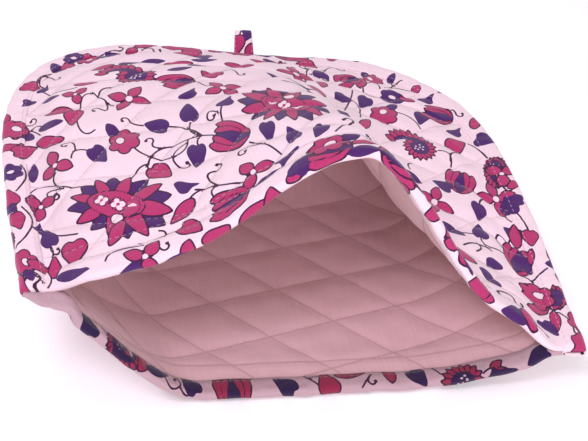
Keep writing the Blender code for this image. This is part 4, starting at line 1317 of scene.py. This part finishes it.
@dataclass(frozen=True)
class PrintedCotton:
    """Screen-printed cotton: flat inks sunk in a plain weave on a pale lilac-white ground."""
    ground: str = "#F2D9E5"
    shade: str = "#EFD7DA"
    pink: str = "#AA245F"
    pink_worn: str = "#BA3B71"
    purple: str = "#40145A"
    purple_worn: str = "#50246B"
    line: str = "#300C34"
    line_worn: str = "#471843"
    soak: float = 0.16  # softness of an ink's edge, mm
    groove_shade_and_grime: float = 0.3  # painted shade and grime: how much darker the cloth is along a quilting line
    groove_darkening: tuple = (0.80, 0.70, 0.70)  # what is left of its colour under that painted shade and grime
    raised: float = 0.22  # height of the stitches, mm
    pale: float = 0.4  # how much the thread covers

    def build(self, name: str, side: Side | None = None, seam: float = 0.0) -> Material:
        """Make the material.

        Args:
            name: what the finish is.
            side: the quilted panel it is for; a strip has none.
            seam: where a strip's row of stitches runs, in mm from its middle line.
        Returns:
            The material.
        """
        made, tree, shader = new_material(name, WEAVE.roughness, WEAVE.sheen)
        flat = flat_place(tree)
        if side is not None:
            stitches, groove = STITCHING.quilting(tree, flat, side)
        else:
            strip = node(tree, "Attribute", out="Vector", attribute_name="strip")
            run, across, _ = node(tree, "SeparateXYZ", strip).node.outputs
            off = node(tree, "Math.SUBTRACT", node(tree, "Math.ABSOLUTE", across), seam)
            stitches, groove = STITCHING.along(tree, off, run), None
        normal, tone = WEAVE.surface(
            tree, flat, node(tree, "Math.MULTIPLY", stitches, self.raised))
        fade, blotch = (node(tree, "TexNoise", named={"Vector": flat, "Scale": s, "Detail": d})
                        for s, d in ((0.05, 3.0), (0.9, 2.0)))
        colour = node(tree, "Mix", named={0: fade, 6: linear(self.ground), 7: linear(self.shade)},
                      **COLOURS)
        for ink, fresh, worn in (("line", self.line, self.line_worn),
                                 ("pink", self.pink, self.pink_worn),
                                 ("purple", self.purple, self.purple_worn)):
            edge = node(tree, "Attribute", out="Fac", attribute_name=ink)
            if ink == "line":
                away, across = (node(tree, "Attribute", out="Fac", attribute_name=k)
                                for k in ("stalk", "across"))
                beside = node(tree, "Math.SUBTRACT", node(tree, "Math.ABSOLUTE", across),
                              PRINT.stalk / 2)
                past = node(tree, "Math.SUBTRACT", away, PRINT.drawn_to)
                edge = node(tree, "Math.MINIMUM", edge, node(tree, "Math.MAXIMUM", beside, past))
            cover = node(tree, "MapRange", edge, self.soak / 2, -self.soak / 2,
                         interpolation_type="SMOOTHSTEP")
            uneven = node(tree, "Mix", named={0: blotch, 6: linear(fresh), 7: linear(worn)},
                          **COLOURS)
            colour = node(tree, "Mix", named={0: cover, 6: colour, 7: uneven}, **COLOURS)
        # painted shade and grime in the drawn-in grooves along the quilting lines
        if groove is not None:
            share = node(tree, "Math.MULTIPLY", groove, self.groove_shade_and_grime)
            groove_shaded = node(tree, "VectorMath.MULTIPLY", colour, self.groove_darkening)
            colour = node(tree, "Mix", named={0: share, 6: colour, 7: groove_shaded}, **COLOURS)
        share = node(tree, "Math.MULTIPLY", stitches, self.pale)
        colour = node(tree, "Mix", named={0: share, 6: colour, 7: linear(STITCHING.thread)},
                      **COLOURS)
        toned = node(tree, "VectorMath.SCALE", colour, named={"Scale": tone})
        tree.links.new(toned, shader.inputs["Base Color"])
        tree.links.new(normal, shader.inputs["Normal"])
        return made


@dataclass(frozen=True)
class LiningCotton:
    """Plain dyed cotton lining: dusty pink, thinner and slightly uneven, quilted through."""
    cloth: str = "#E6BFC1"
    deep: str = "#DAB1B4"
    # groove: painted shade and grime along the quilting lines
    groove: str = "#AB7C7B"
    thread: str = "#C79A98"
    roughness: float = 0.92
    sheen: float = 0.3
    raised: float = 0.18  # height of the stitches, mm

    def build(self, name: str, side: Side) -> Material:
        """Make the material.

        Args:
            name: what the finish is.
            side: the quilted panel it lines.
        Returns:
            The material.
        """
        made, tree, shader = new_material(name, self.roughness, self.sheen)
        flat = flat_place(tree)
        stitches, groove = STITCHING.quilting(tree, flat, side)
        normal, tone = WEAVE.surface(
            tree, flat, node(tree, "Math.MULTIPLY", stitches, self.raised))
        streaks = node(tree, "TexNoise", named={
            "Vector": node(tree, "VectorMath.MULTIPLY", flat, (0.9, 0.02, 1.0)), "Scale": 1.0,
            "Detail": 4.0})
        colour = node(tree, "Mix", named={0: streaks, 6: linear(self.cloth), 7: linear(self.deep)},
                      **COLOURS)
        # painted shade and grime in the grooves, then the pale thread
        for where, share, over in ((groove, 0.34, self.groove), (stitches, 0.5, self.thread)):
            share = node(tree, "Math.MULTIPLY", where, share)
            colour = node(tree, "Mix", named={0: share, 6: colour, 7: linear(over)}, **COLOURS)
        toned = node(tree, "VectorMath.SCALE", colour, named={"Scale": tone})
        tree.links.new(toned, shader.inputs["Base Color"])
        tree.links.new(normal, shader.inputs["Normal"])
        return made


# ------------ cloth meshes
def grid_cloth(name: str, fine: tuple[int, int], lining: tuple[int, int] | None,
               inside_out: bool) -> tuple[Object, Array]:
    """Make a flat grid of cloth, or two grids joined at their edges.

    Args:
        name: the piece's name.
        fine: cells across and along the outer cloth.
        lining: cells across and along the lining, if there is one.
        inside_out: whether the faces are to point the other way.
    Returns:
        The object, and for each vertex its share across, share along and layer (0 or -1).
    """
    bm = bmesh.new()
    bmesh.ops.create_grid(bm, x_segments=fine[0], y_segments=fine[1], size=1.0)
    if lining:
        lower = bmesh.ops.create_grid(bm, x_segments=lining[0], y_segments=lining[1], size=1.0)
        bmesh.ops.translate(bm, verts=lower["verts"], vec=Vector((0, 0, -1)))
        bmesh.ops.reverse_faces(bm, faces=[f for f in bm.faces if f.verts[0].co.z < -0.5])
        for face in bm.faces:
            face.material_index = 1 if face.verts[0].co.z < -0.5 else 0
        bmesh.ops.bridge_loops(bm, edges=[e for e in bm.edges if e.is_boundary])
        bmesh.ops.recalc_face_normals(bm, faces=bm.faces)
    if inside_out:
        bmesh.ops.reverse_faces(bm, faces=bm.faces)
    mesh = bpy.data.meshes.new(name)
    bm.to_mesh(mesh)
    bm.free()
    obj = bpy.data.objects.new(name, mesh)
    bpy.context.scene.collection.objects.link(obj)
    place = np.zeros(len(mesh.vertices) * 3, np.float32)
    mesh.vertices.foreach_get("co", place)
    place = place.reshape(-1, 3).astype(float)
    shares = np.stack([(place[:, 0] + 1) / 2, (place[:, 1] + 1) / 2, place[:, 2]], axis=1)
    return obj, shares


def dress(obj: Object, points: Array, cut: Array, materials: list,
          cloth: FloralPrint, strip: Array | None = None) -> None:
    """Lay a grid of cloth in place and give it its map, its print and its materials.

    Args:
        obj: the cloth.
        points: where its vertices lie, in metres.
        cut: where they are on the uncut cloth, in millimetres.
        materials: its finishes, in the order of its faces' numbers.
        cloth: the printed cloth it is cut from.
        strip: for a strip, distances along it and from its middle line, in mm.
    """
    mesh = obj.data
    mesh.vertices.foreach_set("co", points.astype(np.float32).ravel())
    corners = np.zeros(len(mesh.loops), np.int32)
    mesh.loops.foreach_get("vertex_index", corners)
    layer = mesh.uv_layers.new(name="cut")
    layer.uv.foreach_set("vector", (cut[corners] * MM).astype(np.float32).ravel())
    inks = cloth.inks(cut)
    for column, name in enumerate(("pink", "purple", "line", "stalk", "across")):
        made = mesh.attributes.new(name, "FLOAT", "POINT")
        made.data.foreach_set("value", inks[:, column].astype(np.float32))
    if strip is not None:
        made = mesh.attributes.new("strip", "FLOAT_VECTOR", "POINT")
        full = np.concatenate([strip, np.zeros((len(strip), 1))], axis=1)
        made.data.foreach_set("vector", full.astype(np.float32).ravel())
    for material in materials:
        mesh.materials.append(material)
    mesh.shade_smooth()
    mesh.update()


@dataclass
class QuiltedPanel:
    """One side of the cosy: printed cotton, wadding and lining, quilted together."""
    name: str
    part: str  # the solid that it stands in for
    side: Side
    fine: tuple[int, int] = (336, 232)  # cells of the printed cloth
    coarse: tuple[int, int] = (168, 116)  # cells of the lining
    tuck: float = 2.0  # from the bound edge's rim to the panel in it, mm
    shoulder: float = 0.29  # share of the edge that is the panel's side
    lining_puff: float = 0.55  # share of the puff on the lining's side
    turn_from: float = 9.0  # in from the edge, its slope gives way, mm
    turn_over: float = 12.0  # over this length
    pressed: float = 6.0  # in from an edge, the puckers begin, mm
    puckers_over: float = 8.0  # and are full after this

    def flat(self, across: Array, along: Array) -> Array:
        """Flat points as a blend of the panel's four sides.

        Args:
            across: shares across the panel.
            along: shares from the mouth to the top.
        Returns:
            Flat points, in millimetres.
        """
        edge, turn = SHAPE.edge, self.shoulder * SHAPE.edge

        def border(s: Array) -> Array:
            """Points just inside the bound edge at distances s along it."""
            point, inward = SHAPE.flat_edge(s)
            return point + inward * self.tuck

        left, right = border(along * turn), border(edge - along * turn)
        top = border(turn + across * (edge - 2 * turn))
        mouth = np.stack([(2 * across - 1) * (SHAPE.width / 2 - self.tuck),
                          np.zeros(across.shape)], axis=-1)
        corners = [border(np.array([s]))[0] for s in (0.0, edge, turn, edge - turn)]
        x, y = across[:, None], along[:, None]
        return ((1 - y) * mouth + y * top + (1 - x) * left + x * right
                - (1 - x) * (1 - y) * corners[0] - x * (1 - y) * corners[1]
                - (1 - x) * y * corners[2] - x * y * corners[3])

    def layer(self, cells: tuple[int, int], outer: bool) -> tuple[Array, Array]:
        """Points of one face of the quilted panel on an even grid.

        Args:
            cells: cells across and along.
            outer: the printed face, not the lining.
        Returns:
            Points in space (mm) and flat points (mm), row by row from the mouth.
        """
        x, y = np.meshgrid(np.linspace(0, 1, cells[0] + 1), np.linspace(0, 1, cells[1] + 1))
        flat = self.flat(x.ravel(), y.ravel())
        u, v = flat.T
        v = np.maximum(v, 0.0)
        s, d = SHAPE.nearest_edge(u, v)
        middle = SHAPE.middle(self.side, u, v, (s, d))
        grid = middle.reshape(cells[1] + 1, cells[0] + 1, 3)
        normal = np.cross(np.gradient(grid, axis=1), np.gradient(grid, axis=0)).reshape(-1, 3)
        normal = unit(normal) * self.side.value
        up = SHAPE.rim_at(s)[2] * self.side.value
        share = ease((d - self.turn_from) / self.turn_over)[:, None]
        normal = unit(share * normal + (1 - share) * up)
        thick = QUILTING.thickness(self.side, u, v, d)
        pucker = QUILTING.pucker(self.side, u, v, s, d)
        for inward in (d, v):
            pucker = pucker * ease((inward - self.pressed) / self.puckers_over)
        out = thick / 2 + pucker
        inner = QUILTING.stitched / 2 + (out - QUILTING.stitched / 2) * self.lining_puff
        return middle + normal * (out if outer else -inner)[:, None], flat

    def build(self, printed: Material, lining: Material) -> Object:
        """Make the panel.

        Args:
            printed: the outer cloth's finish.
            lining: the lining's finish.
        Returns:
            The panel.
        """
        obj, shares = grid_cloth(self.name, self.fine, self.coarse, self.side is Side.BACK)
        points, cut = np.zeros((len(shares), 3)), np.zeros((len(shares), 2))
        for cells, outer in ((self.fine, True), (self.coarse, False)):
            at = np.flatnonzero((shares[:, 2] > -0.5) == outer)
            placed, flat = self.layer(cells, outer)
            column = np.rint(shares[at, 0] * cells[0]).astype(int)
            row = np.rint(shares[at, 1] * cells[1]).astype(int)
            index = row * (cells[0] + 1) + column
            points[at], cut[at] = placed[index], flat[index]
        points = SHAPE.placed(points)
        points[:, 2] = np.maximum(points[:, 2], 0.0)
        dress(obj, points, cut, [printed, lining], PRINT if self.side is Side.FRONT else BACK_PRINT)
        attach(obj, "root")
        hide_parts(self.part)
        return obj


@dataclass
class FoldedStrip:
    """A strip of printed cotton folded over an edge and stitched down through it."""
    name: str
    part: str  # the solid that it stands in for
    cloth: float = 1.2  # thickness, with its turned-in edge, mm
    width: float = 12.0  # rim to stitched edge, mm
    nose: float = 1.5  # length of the rounded rim, mm
    gather: float = 0.30  # height of its small gathers, mm
    gathers: Pair = (7, 15)  # shortest and longest of them, mm
    creases: Pair = (3.5, 6)  # the same for the creases in them, half as high
    calmed: float = 0.7  # share of them lost towards the stitches
    calm_from: float = 0.6  # share of the width where that begins
    cells: int = 26  # across the strip
    rim_share: float = 0.32  # share of them in the rounded rim
    step: float = 1.0  # between stations along it, mm
    air: float = 0.15  # between it and what it is folded over, mm
    standing: float = 0.30  # how far it stands off between rim and stitches, mm
    rim_waves: float = 0.2  # height of the waves of its rim, mm
    rim_lengths: Pair = (12, 30)  # shortest and longest of them
    rim_part: float = 3.0  # how far in from the rim they go
    drawn: float = 0.9  # how deep its stitches draw it in, mm
    drawn_over: float = 2.2  # how far from its stitched edge, mm
    seeds: tuple[int, int] = (70, 90)  # which waves its upper and lower side have

    def cut(self, s: Array, run: Array) -> Array:
        """Where the strip's points are on the uncut cloth."""
        return np.stack([s, run], axis=1)

    def section(self, half: Array) -> tuple[Array, Array, Array]:
        """Middle line of the folded strip.

        Args:
            half: half the height of the fold at each station.
        Returns:
            Distance in from the rim, height, and distance along the cloth from its middle,
            one row per station.
        """
        t = np.linspace(-1, 1, self.cells + 1)[None, :]
        flank, rim = self.width - self.nose, self.rim_share
        away = np.abs(t)
        turn = np.clip(away / rim, 0, 1) * math.pi / 2
        start = self.cloth / 2
        inward = np.where(away < rim, start + self.nose * (1 - np.cos(turn)),
                          start + self.nose + flank * (away - rim) / (1 - rim))
        height = half[:, None] * np.sign(t) * np.sin(turn) ** 0.8
        run = np.sign(t) * np.where(away < rim, half[:, None] * np.sin(turn) + inward - start,
                                    half[:, None] + inward - start)
        return np.broadcast_to(inward, height.shape), height, run

    def gathered(self, s: Array, inward: Array, height: Array, full: Array,
                 calm: Array) -> Array:
        """Heights of the strip with small gathers, and drawn in at its stitches.

        Args:
            s: distances along the strip, one for each station.
            inward: distances in from its rim.
            height: heights of the plain fold.
            full: the fold's height at each station.
            calm: share of the gathers at each station.
        Returns:
            Heights, in millimetres.
        """
        s, grow = s[:, None] + inward * 0, []
        span = self.width - self.nose - 1.0
        belly = np.sin(np.clip((inward - self.nose) / span, 0, 1) * math.pi)
        calming = inward / self.width - self.calm_from
        still = 1 - self.calmed * ease(calming / (1 - self.calm_from))
        for seed in self.seeds:
            wave = (ripples(s, inward * 0.35, *self.gathers, seed)
                    + 0.5 * ripples(s, inward, *self.creases, seed + 5))
            edge = self.rim_waves * ripples(s, inward * 0, *self.rim_lengths, seed + 9)
            grow.append((self.standing + self.gather * wave * still) * belly
                        + edge * (inward < self.rim_part))
        seam = self.drawn * ease((inward - (self.width - self.drawn_over)) / self.drawn_over)
        grow = np.where(height > 0, *grow) * calm[:, None]
        share = np.clip(np.abs(height) / full[:, None], 0, 1)
        return height + np.sign(height) * share * (grow - seam)

    def finish(self, points: Array, run: Array, s: Array, material: Material,
               inside_out: bool, cloth: FloralPrint) -> Object:
        """Make the strip from its laid points.

        Args:
            points: its middle layer in mm, station by station.
            run: distance across the cloth from its middle line, mm.
            s: distance along the strip, mm.
            material: its finish.
            inside_out: whether its faces are to point the other way.
            cloth: the printed cloth it is cut from.
        Returns:
            The strip.
        """
        stations = points.shape[0] - 1
        across = points.shape[1] - 1
        obj, shares = grid_cloth(self.name, (stations, across), None, inside_out)
        i = np.rint(shares[:, 0] * stations).astype(int)
        j = np.rint(shares[:, 1] * across).astype(int)
        along = np.broadcast_to(s[:, None], run.shape)[i, j]
        strip = np.stack([along, run[i, j]], axis=1)
        dress(obj, SHAPE.placed(points[i, j]), self.cut(*strip.T), [material], cloth, strip)
        thick = obj.modifiers.new("Cloth", "SOLIDIFY")
        thick.thickness, thick.offset = self.cloth * MM, 0.0
        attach(obj, "root")
        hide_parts(self.part)
        return obj


@dataclass
class EdgeBinding(FoldedStrip):
    """The strip that joins both panels, from one mouth corner over the top to the other."""
    name: str = "bound_edge"
    part: str = "edge_binding"
    beyond: float = 1.6  # how far its folded-in ends stand past the corners, mm
    ends: float = 0.2  # share of its height left at the ends
    pushed: float = 0.25  # how far its rim wanders in and out, mm
    shift: float = 3.0  # from the panel's print to the strip's, mm

    def cut(self, s: Array, run: Array) -> Array:
        """The strip is matched to the front panel's print, which runs on over the edge.

        Args:
            s: distances along the strip.
            run: distances across it from its middle line.
        Returns:
            Points on the uncut cloth, in millimetres.
        """
        point, inward = SHAPE.flat_edge(s)
        return point + inward * (run - self.shift)[:, None]

    def build(self, material: Material) -> Object:
        """Make the bound edge.

        Args:
            material: its finish.
        Returns:
            The bound edge.
        """
        count = int((SHAPE.edge + 2 * self.beyond) / self.step)
        s = np.linspace(-self.beyond, SHAPE.edge + self.beyond, count + 1)
        most = QUILTING.edge_pressed + SHAPE.gap / 2 + self.air + self.cloth / 2
        past = np.minimum(s, SHAPE.edge - s) + self.beyond
        rising = np.sqrt(np.clip(past / (self.beyond + 1.0), 0, 1))
        full = most * (self.ends + (1 - self.ends) * rising)
        inward, height, run = self.section(full)
        rim, out, up = SHAPE.rim_at(s)
        tall = self.gathered(s, inward, height, full, (full / most) ** 2)
        push = self.pushed * ripples(s[:, None] + run * 0, run * 0, 10, 30, 99)
        points = (rim[:, None] - out[:, None] * (inward + push * (inward < 4))[..., None]
                  + up[:, None] * tall[..., None])
        return self.finish(points, run, s, material, False, PRINT)


@dataclass
class MouthBinding(FoldedStrip):
    """The strip folded over one panel's mouth edge."""
    side: Side = Side.FRONT
    drawn: float = 0.8
    seeds: tuple[int, int] = (130, 160)
    reach: float = 150.0  # how far from the middle it runs to the right, mm
    reach_left: float = 150.0  # and to the left
    shift: float = 5.0  # from the panel's print to the strip's, mm
    past: Pair = (0.4, 0.5)  # how far past the mouth it stands, how much that wanders
    pinch: float = 0.5  # share of its height left at the bound corners
    pinched: Pair = (128.0, 148.0)  # from the middle: where that starts, ends

    def cut(self, s: Array, run: Array) -> Array:
        """The front's strip is matched to its panel; the back's is cut from other cloth.

        Args:
            s: distances along the strip.
            run: distances across it from its middle line.
        Returns:
            Points on the uncut cloth, in millimetres.
        """
        across = run - self.shift if self.side is Side.FRONT else -run
        return np.stack([s - self.reach_left, across], axis=1)

    def build(self, material: Material) -> Object:
        """Make the mouth strip.

        Args:
            material: its finish.
        Returns:
            The mouth strip.
        """
        count = int((self.reach_left + self.reach) / self.step)
        u = np.linspace(-self.reach_left, self.reach, count + 1)
        edge, n_edge = SHAPE.surface(self.side, u, np.zeros(u.shape))
        back, n_back = SHAPE.surface(self.side, u, np.full(u.shape, SHAPE.flange))
        inward_way = back - edge
        start, end = self.pinched
        squeezed = 1 - (1 - self.pinch) * ease((np.abs(u) - start) / (end - start))
        half = (QUILTING.mouth_pressed / 2 + self.air + self.cloth / 2) * squeezed
        inward, height, run = self.section(half)
        far, wander = self.past
        beyond = self.air + self.cloth + far + wander * ripples(u, u * 0, 24, 60, 210)[:, None]
        share = ((inward - beyond) / SHAPE.flange)[..., None]
        share = np.broadcast_to(share, (*height.shape, 1))
        tall = self.gathered(u, inward, height, half, squeezed)
        up = unit(n_edge[:, None] + (n_back - n_edge)[:, None] * np.maximum(share, 0.0))
        points = edge[:, None] + inward_way[:, None] * share + up * tall[..., None]
        points[..., 2] = np.maximum(points[..., 2], self.cloth / 2)
        return self.finish(points, run, u + self.reach_left, material, self.side is Side.BACK,
                           PRINT if self.side is Side.FRONT else TRIM)


@dataclass
class HangingLoop(FoldedStrip):
    """A narrow folded strip bent over on itself and sewn in at the top of the cosy."""
    name: str = "cloth_loop"
    part: str = "hanging_loop"
    cloth: float = 1.7
    broad: float = 13.0  # across it at the cosy, mm
    taper: float = 0.18  # share of that lost at the bend
    tilt: float = 24.0  # degrees above the table
    place: float = 0.496  # share of the way along the bound edge
    crown: float = 0.35  # how far its middle stands over its sides, mm
    uneven: float = 0.16  # height of its waves, mm
    line: tuple = ((1.5, -1.4), (6, -3.0), (12, -5.0), (17.5, -4.6), (20.5, 0),
                   (17.5, 4.6), (12, 5.0), (6, 3.0), (1.5, 1.4))

    def cut(self, s: Array, run: Array) -> Array:
        """Cut from the same cloth as the lower lip's strip."""
        return np.stack([s, run + 40.0], axis=1)

    def build(self, material: Material) -> Object:
        """Make the loop.

        Args:
            material: its finish.
        Returns:
            The loop.
        """
        rim, out, _ = (m[0] for m in SHAPE.rim_at(np.array([SHAPE.edge * self.place])))
        across = unit(np.cross((0.0, 0.0, 1.0), out))
        flat = unit(np.array([out[0], out[1], 0.0]))
        a = math.radians(self.tilt)
        away = flat * math.cos(a) + np.array([0, 0, math.sin(a)])
        over = np.cross(away, across)
        line = np.array(self.line, float)
        t = np.linspace(0, len(line) - 1, 65)
        k = np.arange(len(line))
        d, h = smooth_through(t, k, line[:, 0]), smooth_through(t, k, line[:, 1])
        s = SHAPE.lengths(np.stack([d, h], axis=1))
        w = np.linspace(-0.5, 0.5, 15)[None, :]
        broad = self.broad * (1 - self.taper * d / d.max())[:, None]
        run = w * broad
        centre = rim + away * (d + SHAPE.gap)[:, None] + over * h[:, None]
        way = unit(np.gradient(centre, axis=0))
        normal = unit(np.cross(across[None], way))
        waves = ripples(s[:, None] + run * 0, run, 5, 11, 7)
        crown = self.crown * np.cos(w * math.pi) + self.uneven * waves
        points = centre[:, None] + across * run[..., None] + normal[:, None] * crown[..., None]
        obj = self.finish(points, run, s, material, False, TRIM)
        soft = obj.modifiers.new("Soft", "SUBSURF")
        soft.levels = soft.render_levels = 1
        return obj


# ------------ the studio
@dataclass
class Studio:
    """Plain pale floor, soft light and the camera."""
    azimuth: float = -6.0
    elevation: float = 36.0
    distance: float = 620.0
    target: tuple[float, float, float] = (17.8, 14.8, 0.0)
    lens: float = 62.67
    glow: float = 0.20  # of the paper by itself
    sky: float = 0.54
    drop: float = 0.2  # of the floor under the cosy, mm
    # name, place in metres, side in metres, watts, colour
    lights: tuple = (("key", (-0.40, -0.45, 1.15), 0.50, 5.3, "#F3EAFF"),
                     ("front", (0.18, -1.05, 0.44), 0.60, 5.8, "#F6EEFC"),
                     ("window", (-0.35, 0.65, 1.12), 0.8, 4.6, "#F0E8FF"))

    def build(self) -> None:
        """Set up the floor, the lights, the world and the camera."""
        scene = bpy.context.scene
        scene.view_settings.view_transform = "Standard"
        bm = bmesh.new()
        bmesh.ops.create_grid(bm, x_segments=24, y_segments=24, size=4.0)
        mesh = bpy.data.meshes.new("floor")
        bm.to_mesh(mesh)
        bm.free()
        floor = bpy.data.objects.new("floor", mesh)
        floor.location.z = -self.drop * MM
        scene.collection.objects.link(floor)
        paper, _, shader = new_material("white backdrop paper", 0.9, 0.0)
        shader.inputs["Base Color"].default_value = linear("#F7F6F7")
        shader.inputs["Emission Color"].default_value = linear("#FFFFFF")
        shader.inputs["Emission Strength"].default_value = self.glow
        mesh.materials.append(paper)
        world = bpy.data.worlds.new("studio")
        world.use_nodes = True
        world.node_tree.nodes["Background"].inputs[0].default_value = linear("#FFF8F6")
        world.node_tree.nodes["Background"].inputs[1].default_value = self.sky
        scene.world = world
        for name, place, size, watts, colour in self.lights:
            light = bpy.data.lights.new(name, "AREA")
            light.shape, light.size, light.energy = "SQUARE", size, watts
            light.color = linear(colour)[:3]
            lamp = bpy.data.objects.new(name, light)
            lamp.location = place
            lamp.rotation_euler = (Vector((0, 0, 0.03)) - Vector(place)).to_track_quat(
                "-Z", "Y").to_euler()
            scene.collection.objects.link(lamp)
        a, e = math.radians(self.azimuth), math.radians(self.elevation)
        back = Vector((math.sin(a) * math.cos(e), -math.cos(a) * math.cos(e), math.sin(e)))
        camera = bpy.data.objects.new("camera", bpy.data.cameras.new("camera"))
        camera.data.lens, camera.data.sensor_width = self.lens, 36.0
        camera.location = (Vector(self.target) + back * self.distance) * MM
        camera.rotation_euler = (-back).to_track_quat("-Z", "Y").to_euler()
        scene.collection.objects.link(camera)
        scene.camera = camera


def main() -> None:
    """Build the cosy, piece by piece, and then its studio."""
    logging.basicConfig(level=logging.INFO, format="%(message)s")
    cotton = PrintedCotton()
    lining = LiningCotton()
    for word, side in (("front", Side.FRONT), ("back", Side.BACK)):
        QuiltedPanel(f"quilted_{word}", f"{word}_panel", side).build(
            cotton.build(f"printed cotton, {word}", side),
            lining.build(f"cotton lining, {word}", side))
        log.info("%s panel laid", word)
    # seam: how far each strip's stitches run from its middle line, in mm
    strip = cotton.build("printed cotton, edge strip", seam=13.0)
    upper = cotton.build("printed cotton, upper lip's strip", seam=11.7)
    # the lower lip's strip: the same printed cotton with painted shade, its ground and inks darker
    # as in shadow
    darker = PrintedCotton(ground="#BC9EA6", shade="#B8979E", pink="#84183A", pink_worn="#92284A",
                           purple="#200A36", purple_worn="#2E1644", line="#1C0820")
    lower = darker.build("printed cotton, lower lip's strip", seam=9.2)
    ribbon = cotton.build("printed cotton, loop", seam=5.2)
    edge = EdgeBinding().build(strip)
    log.info("bound edge laid")
    mouth_front = MouthBinding("front_lip", "front_mouth_binding", side=Side.FRONT).build(upper)
    mouth_back = MouthBinding("back_lip", "back_mouth_binding", side=Side.BACK, width=9.5,
                              reach_left=158.5).build(lower)
    log.info("mouth strips laid")
    loop = HangingLoop().build(ribbon)
    log.info("hanging loop laid")
    Studio().build()


if __name__ == "__main__":
    main()
